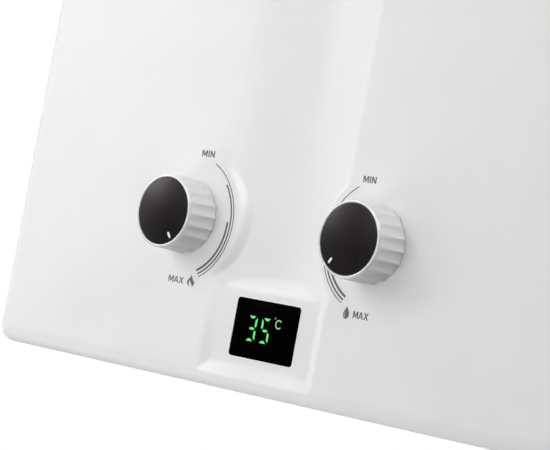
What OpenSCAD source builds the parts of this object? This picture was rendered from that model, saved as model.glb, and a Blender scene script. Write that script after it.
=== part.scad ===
// Wall-hung tankless gas water heater. Millimetres, +Z up, the front faces -Y and the wall is y = 0.
// The origin is the centre of the four wall holes, on the wall face of the back plate.

/* [Casing] */
// Width of the casing
case_w = 330; // [300:2:370]
// Height of the casing
case_h = 550; // [500:2:600]
// Distance from the wall to the front panel
case_d = 180; // [165:1:200]
// Thickness of the cover sheet
sheet = 1; // [0.8:0.1:1.2]
// Radius of the rounded front edges
edge_r = 7; // [4:0.5:10]
// Depth of the lip turned under at the bottom
bottom_lip = 26; // [16:1:28]
// Depth of the lip turned over at the top
top_lip = 30; // [20:1:32]
// Width of the lips along the sides of the bottom and top openings
side_lip = 12; // [8:1:16]
// Gap between the wall and the rear edge of the cover
wall_gap = 1.5; // [0.5:0.5:4]

/* [Front panel] */
// Distance between the two knob axes
knob_pitch = 105.5; // [103:0.5:108]
// Height of the knob axes above the bottom edge
knob_rise = 70; // [68:1:76]
// Width of the central trough
trough_w = 68; // [60:1:72]
// Depth of the trough at its middle
trough_depth = 8; // [6:0.5:9]
// Radius of the round flat that stands in the trough round each knob
boss_r = 30; // [27:0.5:31]
// Widening of that flat down to the bottom of the trough
boss_flare = 2.6; // [1:0.2:4]
// Depth of the display platform under the panel
platform_depth = 3; // [2:0.5:4]
// Width of the flat of the display platform
platform_w = 56; // [52:1:58]
// Height of the flat of the display platform
platform_h = 33; // [31:0.5:35]
// Width of the sloping border of the platform
platform_bevel = 5; // [3:0.5:6]
// Distance of the display centre below the knob axes
display_drop = 42.7; // [41:0.5:44]
// Width of the display window
display_w = 36.4; // [34:0.2:38]
// Height of the display window
display_h = 25.1; // [23:0.1:26]
// Corner radius of the display window
display_corner = 1.5; // [0.5:0.5:3]

/* [Knobs] */
// Diameter of a knob over the ridges at its base
knob_base_d = 32.8; // [31.6:0.2:35]
// Diameter of a knob at its front rim
knob_rim_d = 31.7; // [30.5:0.1:33]
// Height of a knob from its base to its rim
knob_h = 16.1; // [14:0.1:18]
// Gap between the knob base and the panel
knob_gap = 0.3; // [0.2:0.05:1]
// Width of the bright ring round the cap
rim_land = 1.25; // [1:0.05:2]
// Height of the dome of the cap
cap_dome = 0.9; // [0.4:0.1:1.5]
// Number of flutes round a knob
flutes = 20; // [12:1:28]
// Radius of the cutter that makes a flute
flute_r = 5; // [4:0.5:7]
// Radial depth of a flute at the base
flute_depth = 0.9; // [0.6:0.1:1.2]
// Angle of the gas pointer at rest, from +X seen from the front
gas_pointer_angle = -57; // [-65:1:65]
// Angle of the water pointer at rest, from +X seen from the front
water_pointer_angle = -127; // [-180:1:-115]

/* [Back plate] */
// Thickness of the back plate
plate_t = 1.2; // [1:0.1:1.6]
// Depth of the side flanges of the back plate
flange_d = 22; // [18:1:26]
// Height of the wall ears above and below the casing
ear_h = 10; // [9:0.5:11]
// Width of the wall ears
ear_w = 190; // [180:2:220]
// Distance between the wall holes across the width
hole_pitch = 150; // [130:2:160]
// Diameter of the wall holes
wall_hole_d = 6; // [5:0.5:6.5]
// Radius of the pressed stiffening beads
bead_r = 5; // [4:0.5:6]

/* [Pipes] */
// Distance from the wall to the pipe connections
pipe_y = 100; // [96:1:104]
// Radius of the plain half-inch pipe thread
thread_r = 10.48; // [10.4:0.02:10.5]
// Length of the pipe connections below the casing
stub_out = 3; // [0:0.5:4.5]
// Bore radius of the pipe connections
stub_bore_r = 7.5; // [6:0.5:8]
// Outer radius of the copper tube
tube_r = 7; // [6:0.25:7.5]
// Radius of the tube bends at the centre line
tube_bend = 12; // [10:0.5:13]
// Outer radius of the gas riser
riser_r = 6; // [5:0.5:7]

/* [Valves] */
// Length of a valve block along X
valve_w = 52; // [48:1:56]
// Depth and height of a valve block
valve_side = 44; // [42:1:48]
// Radius of the diaphragm housing
diaphragm_r = 32; // [30:0.5:33]
// Thickness of the diaphragm
diaphragm_t = 1.5; // [1:0.25:2.5]
// Radius of the push rod
rod_r = 3.5; // [3:0.25:4]
// Travel of the push rod
rod_travel = 3; // [2:0.5:3]
// Radius of a spindle at the knob
spindle_r = 4; // [3.5:0.25:4.5]
// Radius of the drum at the inner end of a spindle
drum_r = 5; // [4.75:0.25:5.5]

/* [Burner and heat exchanger] */
// Width of the combustion chamber
chamber_w = 190; // [172:2:210]
// Room between the front panel and the chamber
front_room = 32; // [29:1:36]
// Room between the wall and the chamber
rear_room = 28; // [25:1:32]
// Corner radius of the chamber
chamber_corner = 14; // [13:1:20]
// Thickness of the chamber sheet
chamber_t = 1; // [0.8:0.1:1.5]
// Height of the burner frame
frame_h = 55; // [50:1:60]
// Number of burner bars
bars = 11; // [7:1:11]
// Distance between burner bars
bar_pitch = 15.5; // [14.5:0.25:15.75]
// Number of fins
fins = 41; // [21:2:45]
// Distance between fins
fin_pitch = 3.8; // [3:0.1:3.8]
// Thickness of a fin
fin_t = 0.5; // [0.3:0.1:0.8]
// Rise of the wrapped tube in one turn
coil_rise = 45; // [35:1:50]

/* [Flue] */
// Outer diameter of the flue collar
collar_d = 110; // [100:1:112]
// Height of the flue collar
collar_h = 44; // [30:1:60]
// Height of the draft hood
hood_h = 147; // [120:1:148]

/* [Electrics] */
// Width of the control box
control_w = 24; // [20:1:27]
// Depth of the control box
control_d = 94; // [70:1:110]
// Height of the control box
control_h = 110; // [80:1:120]
// Diameter of a battery cell
cell_d = 34.2; // [33:0.1:34.5]
// Length of a battery cell
cell_l = 61.5; // [60:0.5:62]
// Wall of the battery box
battery_wall = 2; // [1.5:0.25:2.5]

/* [Hidden] */
$fn = 64;
// Clearances: sheet over sheet, plain holes over rods, running shafts; then the overshoot of a cut
sheet_fit = 0.3;
hole_fit = 0.15;
run_fit = 0.06;
cut = 1;

// Places of the casing and the front panel
panel_y = -case_d;
case_top = case_h / 2;
case_bottom = -case_h / 2;
knob_x = knob_pitch / 2;
knob_z = case_bottom + knob_rise;
display_z = knob_z - display_drop;
platform_y = panel_y + platform_depth;
platform_top = display_z + platform_h / 2;
platform_low = display_z - platform_h / 2;
trough_rad = (trough_w * trough_w / 4 + trough_depth * trough_depth) / (2 * trough_depth);
spindle_clear = 4;
spindle_hole_r = spindle_r + spindle_clear;

// Back plate and cover screws
plate_x = case_w / 2 - sheet - sheet_fit;
plate_z = case_h / 2 - sheet - sheet_fit;
wall_hole_z = (case_h + ear_h) / 2;
bead_inset = 49;
bead_x = case_w / 2 - bead_inset;
screw_inset = 45;
screw_y = -flange_d / 2;
screw_z = case_top - screw_inset;
screw_r = 2;
screw_head_h = 1.8;
screw_tip = 3;
cross_w = 1;
cross_l = 4.8;
cross_depth = 1;

// Display: the lens has a flange behind the panel, the carrier holds it and the board closes the carrier
lens_y = platform_y + sheet;
lens_sink = 0.1;
lens_flange = 3;
lens_flange_t = 1.5;
carrier_side = 6;
carrier_end = 3.7;
carrier_d = 13;
carrier_ledge = 5;
carrier_rim = 2.5;
board_t = 1.6;
board_y = lens_y + carrier_d - board_t;
digit_edge = 2;
digit_wall = 1.5;
digit_recess = 0.4;

// Knobs
cap_d = knob_rim_d - 2 * rim_land;
cap_t = 1.6;
cap_seat = knob_h - cap_t;
cap_fit = 0.1;
knob_edge = 0.5;
rim_edge = 0.7;
knob_wall = 3.5;
flute_lean = 0.1;
hub_wall = 2.5;
hub_r = spindle_r + hub_wall;
hub_start = 2;
hub_depth = 9;
hub_floor = hub_start + hub_depth;
spindle_flat = 1.2;
pointer_w = 1.1;
pointer_l = 2.8;
pointer_in = 1.3;
pointer_t = 0.8;

// Valves
conn_y = -pipe_y;
valve_corner = 6;
valve_y0 = conn_y - valve_side / 2;
valve_z0 = knob_z - valve_side / 2;
valve_z1 = knob_z + valve_side / 2;
gas_left = -knob_x - valve_w / 2;
gas_right = -knob_x + valve_w / 2;
water_right = knob_x + valve_w / 2;
valve_boss_r = drum_r + 8;
valve_boss_l = 14;
valve_boss_y = valve_y0 - valve_boss_l;
gland_l = 8;
gland_y = valve_boss_y - gland_l;
collar_r = drum_r + 1.5;
spindle_collar = 6;
drum_l = 12;
drum_end = valve_y0 + drum_l;
rod_inset = 14;
rod_y = conn_y + valve_side / 2 - rod_inset;
seat_inset = 16;
seat_x = gas_right - seat_inset;
poppet_r = 10.5;
poppet_t = 4;
poppet_bore_r = 12.5;
throat_r = rod_r + 3.5;
gas_neck_l = 8;
gas_neck_x = gas_right + gas_neck_l;
cover_x0 = 8;
cover_t = 12;
cover_x1 = cover_x0 + cover_t;
water_x0 = cover_x1 + diaphragm_t;
valve_flange_t = 6;
valve_bolts = 6;
valve_bolt_r = 2;
bolt_head_r = 3.4;
bolt_head_h = 2.5;
valve_bolt_circle = diaphragm_r - 3.5;
dish_r = diaphragm_r - 10;
dome_r = dish_r + 2.5;
dome_t = 5;
rod_plate_r = dish_r - 7;
rod_plate_t = 3;
dish_depth = rod_plate_t + rod_travel + 2;
guide_r = rod_r + 5;
guide_l = 10;
guide_x0 = cover_x0 - guide_l;
tab_gap = 6.5;
tab_t = 2.5;
tab_rise = 6.5;
tab_w = 5;
tab_x1 = guide_x0 - tab_gap;
switch_h = 10;
switch_w = 12;
switch_gap = 2;
switch_x0 = tab_x1 + switch_gap;
plunger_side = 3;
plunger_l = rod_travel + 5.5;
plunger_x1 = tab_x1 + plunger_l;
plunger_z = knob_z + guide_r + 4;
solenoid_r = 15;
solenoid_l = 30;
solenoid_flange = 2;
solenoid_flange_t = 4;
outlet_boss_l = 6.25;
outlet_boss_x = water_right + outlet_boss_l;
spring_turns = 6;
spring_wire = 0.6;
spring_r = 6.5;

// Heights: the hood hangs from the top, the burner stands over the valves, the chamber fills the rest
top_room = 13;
riser_room = 33;
hood_z1 = case_top - top_room;
chamber_z1 = hood_z1 - hood_h;
frame_z0 = valve_z1 + riser_room;
chamber_z0 = frame_z0 + frame_h;

// Chamber and the tube round it and through the fins
chamber_front = panel_y + front_room;
chamber_rear = -rear_room;
chamber_d = chamber_rear - chamber_front;
chamber_y = (chamber_front + chamber_rear) / 2;
chamber_flange = 8;
chamber_flange_t = 1.2;
coil_off = tube_r + sheet_fit;
coil_x = chamber_w / 2 + coil_off;
coil_front = chamber_front - coil_off;
coil_rear = chamber_rear + coil_off;
coil_bend = chamber_corner + coil_off;
coil_low = 35;
coil_step = 50;
coil_z = chamber_z0 + coil_low;
pass_gap = 3;
pass_pitch = 2 * tube_bend;
pass_x = chamber_w / 2 + tube_bend + pass_gap;
passes = 2 * floor((chamber_d - 2 * (tube_r + pass_gap)) / (2 * pass_pitch)) + 1;
fin_drop = 31;
fin_h = 46;
pass_z = chamber_z1 - fin_drop;
coil_turns = floor((pass_z - coil_z - 2 * tube_bend - pass_gap) / coil_rise);
outlet_run = 4;
cold_x = max(coil_x, outlet_boss_x + outlet_run + tube_bend);
hot_x = pass_x + tube_bend;

// Burner
bar_head_w = 10;
bar_head_h = 12;
bar_tube_r = 6;
bar_h = 46;
bar_web = 4;
bar_front = chamber_front + 8;
bar_rear = chamber_rear - 10;
rail_lift = 2;
rail_w = 10;
rail_t = 1.5;
rail_z = frame_z0 + rail_lift;
bar_axis_z = rail_z + bar_tube_r;
slots = 16;
slot_w = 1.4;
slot_depth = 4;
frame_t = 1.2;
frame_tab_x = 60;
frame_tab_w = 20;
frame_tab_t = 1.5;
frame_tab_h = 14;
manifold_gap = 6;
manifold_w = 12;
manifold_h = 14;
manifold_y1 = chamber_front - manifold_gap;
manifold_y0 = manifold_y1 - manifold_w;
manifold_x = (bars - 1) / 2 * bar_pitch + 9;
nozzle_r = 3;
nozzle_l = 7;
nozzle_hex = 1.8;
riser_bend = 8;
riser_low = frame_z0 - 18;
riser_plate_w = 20;
riser_plate_h = 12;
riser_plate_t = 3;
electrode_z = chamber_z0 + 8;
electrode_r = 4;
electrode_x = [-38, 4, 16];
electrode_drop = 6;
electrode_in = 12;
electrode_out = 14;
wire_r = 1;

// Pipe shelf and pipe connections
shelf_t = 1.5;
shelf_rise = 33;
shelf_z = case_bottom + shelf_rise;
shelf_under = shelf_z - shelf_t;
shelf_front = 28;
shelf_d = pipe_y + shelf_front;
shelf_end = 22;
shelf_left = -hot_x - shelf_end;
shelf_flange = 24;
vent_w = 8;
vent_l = 50;
vent_pitch = 26;
vent_back = 52;
stub_tip = case_bottom - stub_out;
stub_chamfer = 1;
stub_bore_l = 30;
neck_step = 0.55;
neck_r = thread_r + neck_step;
hex_r = neck_r + 4.5;
hex_h = 7;
lock_nut_h = 7;
thread_relief = 1.5;
neck_low = shelf_under - lock_nut_h - thread_relief;
union_r = neck_r + 3.5;
tube_nut_r = tube_r + 6;
tube_nut_h = 14;
cold_joint_z = frame_z0 - 12;
drain_x = 20;
drain_y = 16;
drain_r = 8;
drain_clear = 1.2;
drain_grip = 10;
hot_joint_z = shelf_z + 2 * hex_h;
hot_nut_up = 5;
hot_jog_z = hot_joint_z + hot_nut_up + 1 + tube_bend;

// Flue
hood_side = 5;
hood_x = chamber_w / 2 + hood_side;
hood_front = chamber_front - 2;
hood_rear = chamber_rear + 6;
hood_t = 1;
hood_slope = 9;
hood_knee = 65;
hood_hang = 22;
thermostat_off = 44;
collar_t = 1;
collar_flange = 5;
collar_y = hood_front + hood_slope + collar_flange + collar_d / 2;

// Battery box and its lid
battery_in_w = cell_d + 5.8;
battery_in_l = 2 * cell_l + 6;
battery_in_h = cell_d + 4.8;
lid_room = 11;
battery_x1 = case_w / 2 - side_lip - lid_room;
battery_x0 = battery_x1 - battery_in_w - 2 * battery_wall;
battery_y = (panel_y + bottom_lip - plate_t) / 2;
battery_y0 = battery_y - battery_in_l / 2 - battery_wall;
battery_y1 = battery_y + battery_in_l / 2 + battery_wall;
battery_rise = 5;
battery_z0 = case_bottom + battery_rise;
battery_z1 = battery_z0 + battery_in_h + battery_wall;
lid_t = 2.5;
lid_gap = 0.5;
lid_hook = 8;
contact_w = 18;
contact_h = 22;
contact_t = 0.5;
hinge_pin_r = 1.5;
hinge_barrel_r = 2.6;
hinge_x = battery_x1 + hinge_barrel_r + sheet_fit;
hinge_z = battery_z0 - 1;
hinge_ear_t = 5;
hinge_ear_h = 12;

// Control box
control_gap = 8;
control_lift = 6;
control_lid_t = 3;
control_corner = 4;
control_x1 = case_w / 2 - sheet - control_gap;
control_x0 = control_x1 - control_w;
control_z0 = battery_z1 + control_lift;

// Shapes that repeat

// A box between three pairs of low and high coordinates
module box(x, y, z) {
    translate([x[0], y[0], z[0]]) cube([x[1] - x[0], y[1] - y[0], z[1] - z[0]]);
}

// Round rods along each axis, between two coordinates
module rod_along_x(r, x) {
    translate([x[0], 0, 0]) rotate([0, 90, 0]) cylinder(r = r, h = x[1] - x[0]);
}

module rod_along_y(r, y) {
    translate([0, y[0], 0]) rotate([-90, 0, 0]) cylinder(r = r, h = y[1] - y[0]);
}

module rod_along_z(r, z) {
    translate([0, 0, z[0]]) cylinder(r = r, h = z[1] - z[0]);
}

// A hexagon with its corners at radius r
module hex_along_x(r, x) {
    translate([x[0], 0, 0]) rotate([0, 90, 0]) cylinder(r = r, h = x[1] - x[0], $fn = 6);
}

module hex_along_y(r, y) {
    translate([0, y[0], 0]) rotate([-90, 0, 0]) cylinder(r = r, h = y[1] - y[0], $fn = 6);
}

module hex_along_z(r, z) {
    translate([0, 0, z[0]]) cylinder(r = r, h = z[1] - z[0], $fn = 6);
}

// A rectangle with round corners, about its centre
module round_rect(w, h, r) {
    square([w - 2 * r, h], center = true);
    square([w, h - 2 * r], center = true);
    for (x = [-1, 1], y = [-1, 1]) translate([x * (w / 2 - r), y * (h / 2 - r)]) circle(r);
}

// A slot with round ends, w wide and l long, about its centre
module slot(w, l) {
    square([w, l - w], center = true);
    for (s = [-1, 1]) translate([0, s * (l - w) / 2]) circle(w / 2);
}

// A drawing in Y and Z, drawn out along X
module across_x(x) {
    translate([x[0], 0, 0]) rotate([90, 0, 90]) linear_extrude(x[1] - x[0]) children();
}

// A drawing in X and Z, drawn out along Y
module across_y(y) {
    translate([0, y[1], 0]) rotate([90, 0, 0]) linear_extrude(y[1] - y[0]) children();
}

// A drawing in X and Y, drawn out along Z
module across_z(z) {
    translate([0, 0, z[0]]) linear_extrude(z[1] - z[0]) children();
}

function unit(v) = v / norm(v);

// Moves a shape that stands on the Z axis to point p, along direction u
module along(p, u) {
    side = unit(abs(u[2]) < 0.9 ? cross([0, 0, 1], u) : cross([1, 0, 0], u));
    back = cross(u, side);
    multmatrix([
        [side[0], back[0], u[0], p[0]],
        [side[1], back[1], u[1], p[1]],
        [side[2], back[2], u[2], p[2]],
        [0, 0, 0, 1]
    ]) children();
}

// Length that a bend takes off each of the two runs that it joins
function bend_cut(u, v, bend) = bend * tan(acos(u * v) / 2);

// A round bend at corner p, from direction u to direction v
module elbow(p, u, v, r, bend) {
    inward = unit(v - (u * v) * u);
    centre = p - bend_cut(u, v, bend) * u + bend * inward;
    normal = cross(-inward, u);
    multmatrix([
        [-inward[0], u[0], normal[0], centre[0]],
        [-inward[1], u[1], normal[1], centre[1]],
        [-inward[2], u[2], normal[2], centre[2]],
        [0, 0, 0, 1]
    ]) rotate_extrude(angle = acos(u * v)) translate([bend, 0]) circle(r);
}

// A round tube along corner points, with bend radii given for the inner corners
module pipe(points, r, bends) {
    last = len(points) - 1;
    dirs = [for (i = [0:last - 1]) unit(points[i + 1] - points[i])];
    cuts = [for (i = [0:last]) i == 0 || i == last ? 0 : bend_cut(dirs[i - 1], dirs[i], bends[i - 1])];
    for (i = [0:last - 1]) {
        run = norm(points[i + 1] - points[i]) - cuts[i] - cuts[i + 1];
        if (run > 0.01) along(points[i] + cuts[i] * dirs[i], dirs[i]) cylinder(r = r, h = run);
    }
    for (i = [1:last - 1]) elbow(points[i], dirs[i - 1], dirs[i], r, bends[i - 1]);
}

// Outline of the cover from above, drawn in by g, back to y = rear
module plan_outline(g, rear) {
    w = case_w - 2 * g;
    r = edge_r - g;
    edge_y = panel_y + edge_r;
    translate([-w / 2, edge_y]) square([w, rear - edge_y]);
    translate([-w / 2 + r, panel_y + g]) square([w - 2 * r, r + cut]);
    for (s = [-1, 1]) translate([s * (w / 2 - r), edge_y]) circle(r);
}

// Outline of the cover from the side in Y and Z, drawn in by g, back to y = rear
module side_outline(g, rear) {
    h = case_h - 2 * g;
    r = edge_r - g;
    edge_y = panel_y + edge_r;
    translate([edge_y, -h / 2]) square([rear - edge_y, h]);
    translate([panel_y + g, -h / 2 + r]) square([r + cut, h - 2 * r]);
    for (s = [-1, 1]) translate([edge_y, s * (h / 2 - r)]) circle(r);
}

module cover_block(g, rear) {
    intersection() {
        across_z([case_bottom, case_top]) plan_outline(g, rear);
        across_x([-case_w / 2, case_w / 2]) side_outline(g, rear);
    }
}

// The trough, cut off below by the slope that faces up above the platform
module trough(g) {
    slope_low = platform_top - platform_depth - g * sqrt(2);
    intersection() {
        translate([0, panel_y + trough_depth - trough_rad, platform_low])
            cylinder(r = trough_rad + g, h = case_h);
        across_x([-trough_w, trough_w]) polygon([
            [panel_y - cut, slope_low - cut],
            [panel_y + 2 * trough_depth, slope_low + 2 * trough_depth],
            [panel_y + 2 * trough_depth, case_top + cut],
            [panel_y - cut, case_top + cut]
        ]);
    }
}

// The sunk platform round the display, with sloping borders
module platform_recess(g) {
    slope = norm([platform_bevel, platform_depth]);
    grow_out = g * slope / platform_depth;
    grow_in = g * (slope - platform_bevel) / platform_depth;
    half_in = platform_w / 2 + grow_in;
    half_out = platform_w / 2 + platform_bevel + grow_out;
    floor_y = platform_y + g;
    intersection() {
        across_z([platform_low - 3 * platform_bevel, platform_top + 3 * platform_bevel]) polygon([
            [-half_out, panel_y - cut], [half_out, panel_y - cut], [half_out, panel_y],
            [half_in, floor_y], [-half_in, floor_y], [-half_out, panel_y]
        ]);
        across_x([-half_out, half_out]) polygon([
            [panel_y - cut, platform_low - platform_bevel - grow_out],
            [panel_y, platform_low - platform_bevel - grow_out],
            [floor_y, platform_low - grow_in],
            [floor_y, platform_top + grow_in],
            [panel_y, platform_top + platform_bevel + grow_out],
            [panel_y - cut, platform_top + platform_bevel + grow_out]
        ]);
    }
}

// The round flat that stays standing round a knob
module boss(side, g) {
    slope = boss_flare / trough_depth;
    translate([side * knob_x, panel_y - cut, knob_z]) rotate([-90, 0, 0]) cylinder(
        r1 = boss_r - slope * cut - g,
        r2 = boss_r + slope * (trough_depth + 2 * cut) - g,
        h = trough_depth + 3 * cut
    );
}

// All that is pressed into the front panel
module front_recess(g) {
    difference() {
        union() {
            trough(g);
            platform_recess(g);
        }
        for (s = [-1, 1]) boss(s, g);
    }
}

// The part of the top or bottom wall that is left open
module end_opening(side, lip) {
    half = case_w / 2 - side_lip;
    z = side * case_h / 2;
    box([-half, half], [panel_y + lip, cut], [z - edge_r, z + edge_r]);
}

module at_display() {
    translate([0, 0, display_z]) children();
}

module at_knob(side) {
    translate([side * knob_x, 0, knob_z]) children();
}

// Casing

module front_cover() {
    color("#f0f0ef") difference() {
        cover_block(0, -wall_gap);
        front_recess(0);
        difference() {
            cover_block(sheet, cut);
            front_recess(sheet);
        }
        end_opening(-1, bottom_lip);
        end_opening(1, top_lip);
        at_display() across_y([panel_y - cut, platform_y + 2 * sheet])
            round_rect(display_w, display_h, display_corner);
        for (s = [-1, 1]) at_knob(s) rod_along_y(spindle_hole_r, [panel_y - cut, panel_y + 2 * sheet]);
        for (z = [-screw_z, screw_z]) translate([0, screw_y, z])
            rod_along_x(screw_r + hole_fit, [-case_w / 2 - cut, case_w / 2 + cut]);
    }
}

module back_plate_outline() {
    square([2 * plate_x, 2 * plate_z], center = true);
    round_rect(ear_w, case_h + 2 * ear_h, ear_h / 2);
}

module back_plate() {
    bead_z = [frame_z0 + 10, hood_z1 - 20];
    color("#b9bdc0") difference() {
        union() {
            across_y([-plate_t, 0]) back_plate_outline();
            for (s = [-1, 1]) {
                inner = s * (plate_x - plate_t);
                outer = s * plate_x;
                box([min(inner, outer), max(inner, outer)], [-flange_d, 0], [-plate_z, plate_z]);
                translate([s * bead_x, 0, 0]) rod_along_z(bead_r, bead_z);
            }
        }
        box([-plate_x, plate_x], [0, bead_r + cut], [-plate_z, plate_z]);
        for (s = [-1, 1]) translate([s * bead_x, 0, 0])
            rod_along_z(bead_r - plate_t, [bead_z[0] + plate_t, bead_z[1] - plate_t]);
        for (x = [-1, 1], z = [-1, 1]) translate([x * hole_pitch / 2, 0, z * wall_hole_z])
            rod_along_y(wall_hole_d / 2, [-plate_t - cut, cut]);
        for (z = [-screw_z, screw_z]) translate([0, screw_y, z])
            rod_along_x(screw_r + hole_fit, [-plate_x - cut, plate_x + cut]);
    }
}

module cover_screws() {
    head_r = 2 * screw_r;
    slot_x = case_w / 2 + screw_head_h - cross_depth;
    color("#c6c8ca") for (s = [0, 1], z = [-screw_z, screw_z]) mirror([s, 0, 0])
        translate([0, screw_y, z]) {
            rod_along_x(screw_r, [plate_x - plate_t - screw_tip, case_w / 2]);
            difference() {
                translate([case_w / 2, 0, 0]) rotate([0, 90, 0])
                    cylinder(r1 = head_r, r2 = 0.8 * head_r, h = screw_head_h);
                for (turn = [0, 90]) rotate([turn, 0, 0])
                    box([slot_x, slot_x + 2 * cross_depth], [-cross_w / 2, cross_w / 2],
                        [-cross_l / 2, cross_l / 2]);
            }
        }
}

module pipe_shelf() {
    rear = -plate_t;
    vents = floor((battery_x0 - shelf_left - vent_pitch) / vent_pitch);
    color("#aeb3b6") difference() {
        union() {
            box([shelf_left, battery_x0], [-shelf_d, rear], [shelf_under, shelf_z]);
            box([shelf_left, battery_x0], [rear - shelf_t, rear], [shelf_under, shelf_z + shelf_flange]);
            box([battery_x0 - shelf_t, battery_x0], [-shelf_d, rear], [battery_z0, shelf_z]);
        }
        for (x = [-hot_x, -knob_x, knob_x]) translate([x, conn_y, 0])
            rod_along_z(neck_r + hole_fit, [shelf_under - cut, shelf_z + cut]);
        translate([knob_x + drain_x, conn_y - drain_y, 0])
            rod_along_z(drain_r + drain_clear, [shelf_under - cut, shelf_z + cut]);
        for (i = [1:vents]) across_z([shelf_under - cut, shelf_z + cut])
            translate([shelf_left + i * vent_pitch, conn_y + vent_back]) slot(vent_w, vent_l);
    }
}

// Display

module display_lens() {
    color("#0a0a0b") at_display() {
        across_y([platform_y + lens_sink, lens_y])
            round_rect(display_w - 2 * hole_fit, display_h - 2 * hole_fit, display_corner - hole_fit);
        across_y([lens_y, lens_y + lens_flange_t]) round_rect(
            display_w + 2 * lens_flange, display_h + 2 * lens_flange, display_corner + lens_flange
        );
    }
}

module display_carrier() {
    outer_w = display_w + 2 * carrier_side;
    outer_h = display_h + 2 * carrier_end;
    seat_w = display_w + 2 * (lens_flange + hole_fit);
    seat_h = display_h + 2 * (lens_flange + hole_fit);
    back = lens_y + carrier_d;
    color("#303336") at_display() difference() {
        across_y([lens_y, back]) round_rect(outer_w, outer_h, 3);
        across_y([lens_y - cut, lens_y + lens_flange_t])
            round_rect(seat_w, seat_h, display_corner + lens_flange + hole_fit);
        across_y([lens_y, back + cut]) round_rect(outer_w - 2 * carrier_ledge, outer_h - 5, 2);
        across_y([board_y, back + cut]) round_rect(outer_w - 2 * carrier_rim, outer_h - 3, 2);
    }
}

module display_board() {
    w = display_w + 2 * (carrier_side - carrier_rim - hole_fit);
    h = display_h + 2 * (carrier_end - 1.5 - hole_fit);
    color("#2b6b3c") at_display() across_y([board_y, board_y + board_t]) round_rect(w, h, 2);
}

module digit_module() {
    front = lens_y + lens_flange_t;
    w = display_w - 2 * digit_edge;
    h = display_h - 2 * digit_edge - 1;
    color("#1b1d1f") at_display() difference() {
        across_y([front, board_y]) round_rect(w, h, 1);
        across_y([front - cut, front + digit_recess])
            round_rect(w - 2 * digit_wall, h - 2 * digit_wall, 0.8);
    }
}

// Knobs, drawn with their base at z = 0 and their face up, then turned to the front

module place_knob(side) {
    translate([side * knob_x, panel_y - knob_gap, knob_z]) rotate([90, 0, 0]) children();
}

module knob_body(side) {
    base_r = knob_base_d / 2;
    rim_r = knob_rim_d / 2;
    seat_r = cap_d / 2 + cap_fit;
    lean = atan((base_r - rim_r) * flute_lean / knob_h);
    place_knob(side) difference() {
        rotate_extrude() polygon([
            [0, 0], [base_r - knob_edge, 0], [base_r, knob_edge],
            [rim_r, knob_h - rim_edge], [rim_r - rim_edge, knob_h],
            [seat_r, knob_h], [seat_r, cap_seat], [0, cap_seat]
        ]);
        for (i = [0:flutes - 1]) rotate([0, 0, (i + 0.5) * 360 / flutes])
            translate([base_r - flute_depth + flute_r, 0, -cut]) rotate([0, -lean, 0])
                cylinder(r = flute_r, h = knob_h + 4 * cut);
        difference() {
            translate([0, 0, -cut]) cylinder(r = rim_r - knob_wall, h = hub_floor + cut);
            cylinder(r = hub_r, h = hub_floor + cut);
        }
        difference() {
            translate([0, 0, -cut]) cylinder(r = spindle_r + run_fit, h = hub_floor + cut);
            box([spindle_r - spindle_flat, spindle_r + cut], [-spindle_r, spindle_r],
                [hub_start, hub_floor + cut]);
        }
    }
}

module cap_solid() {
    cap_r = cap_d / 2;
    ball_r = (cap_r * cap_r + cap_dome * cap_dome) / (2 * cap_dome);
    intersection() {
        cylinder(r = cap_r, h = knob_h + cap_dome);
        translate([0, 0, knob_h + cap_dome - ball_r]) sphere(r = ball_r, $fn = 400);
        translate([0, 0, cap_seat]) cylinder(r = cap_r, h = knob_h);
    }
}

// Prism of the inlaid pointer at its angle
module pointer_prism(angle) {
    middle = cap_d / 2 - pointer_in - pointer_l / 2;
    rotate([0, 0, angle]) translate([middle, 0, knob_h - pointer_t])
        linear_extrude(4 * pointer_t) round_rect(pointer_l, pointer_w, 0.3);
}

module knob_cap(side, angle) {
    place_knob(side) difference() {
        cap_solid();
        pointer_prism(angle);
    }
}

module knob_pointer(side, angle) {
    place_knob(side) intersection() {
        cap_solid();
        pointer_prism(angle);
    }
}

module spindle(side) {
    tip = panel_y - knob_gap - hub_floor + 0.2;
    collar_y0 = valve_boss_y + 0.2;
    collar_y1 = valve_boss_y + spindle_collar;
    at_knob(side) difference() {
        union() {
            rod_along_y(spindle_r, [tip, collar_y0]);
            rod_along_y(collar_r, [collar_y0, collar_y1]);
            rod_along_y(drum_r, [collar_y1, drum_end]);
        }
        box([spindle_r - spindle_flat - run_fit, spindle_r + cut], [tip - cut, tip + hub_depth + 0.2],
            [-spindle_r, spindle_r]);
        box([-drum_r, drum_r], [drum_end - drum_r, drum_end + cut], [-0.3 * drum_r, 0.3 * drum_r]);
    }
}

module gas_knob_body() {
    color("#c9cbcd") knob_body(-1);
}

module gas_knob_cap() {
    color("#0c0c0d") knob_cap(-1, gas_pointer_angle);
}

module gas_knob_pointer() {
    color("#f4f4f2") knob_pointer(-1, gas_pointer_angle);
}

module gas_spindle() {
    color("#b8bcbf") spindle(-1);
}

module water_knob_body() {
    color("#c9cbcd") knob_body(1);
}

module water_knob_cap() {
    color("#0c0c0d") knob_cap(1, water_pointer_angle);
}

module water_knob_pointer() {
    color("#f4f4f2") knob_pointer(1, water_pointer_angle);
}

module water_spindle() {
    color("#b8bcbf") spindle(1);
}

module gland_nuts() {
    color("#c8a24c") for (s = [-1, 1]) at_knob(s) difference() {
        hex_along_y(valve_boss_r - 1, [gland_y, valve_boss_y]);
        rod_along_y(spindle_r + run_fit, [gland_y - cut, valve_boss_y + cut]);
    }
}

// Pipe connections

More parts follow.
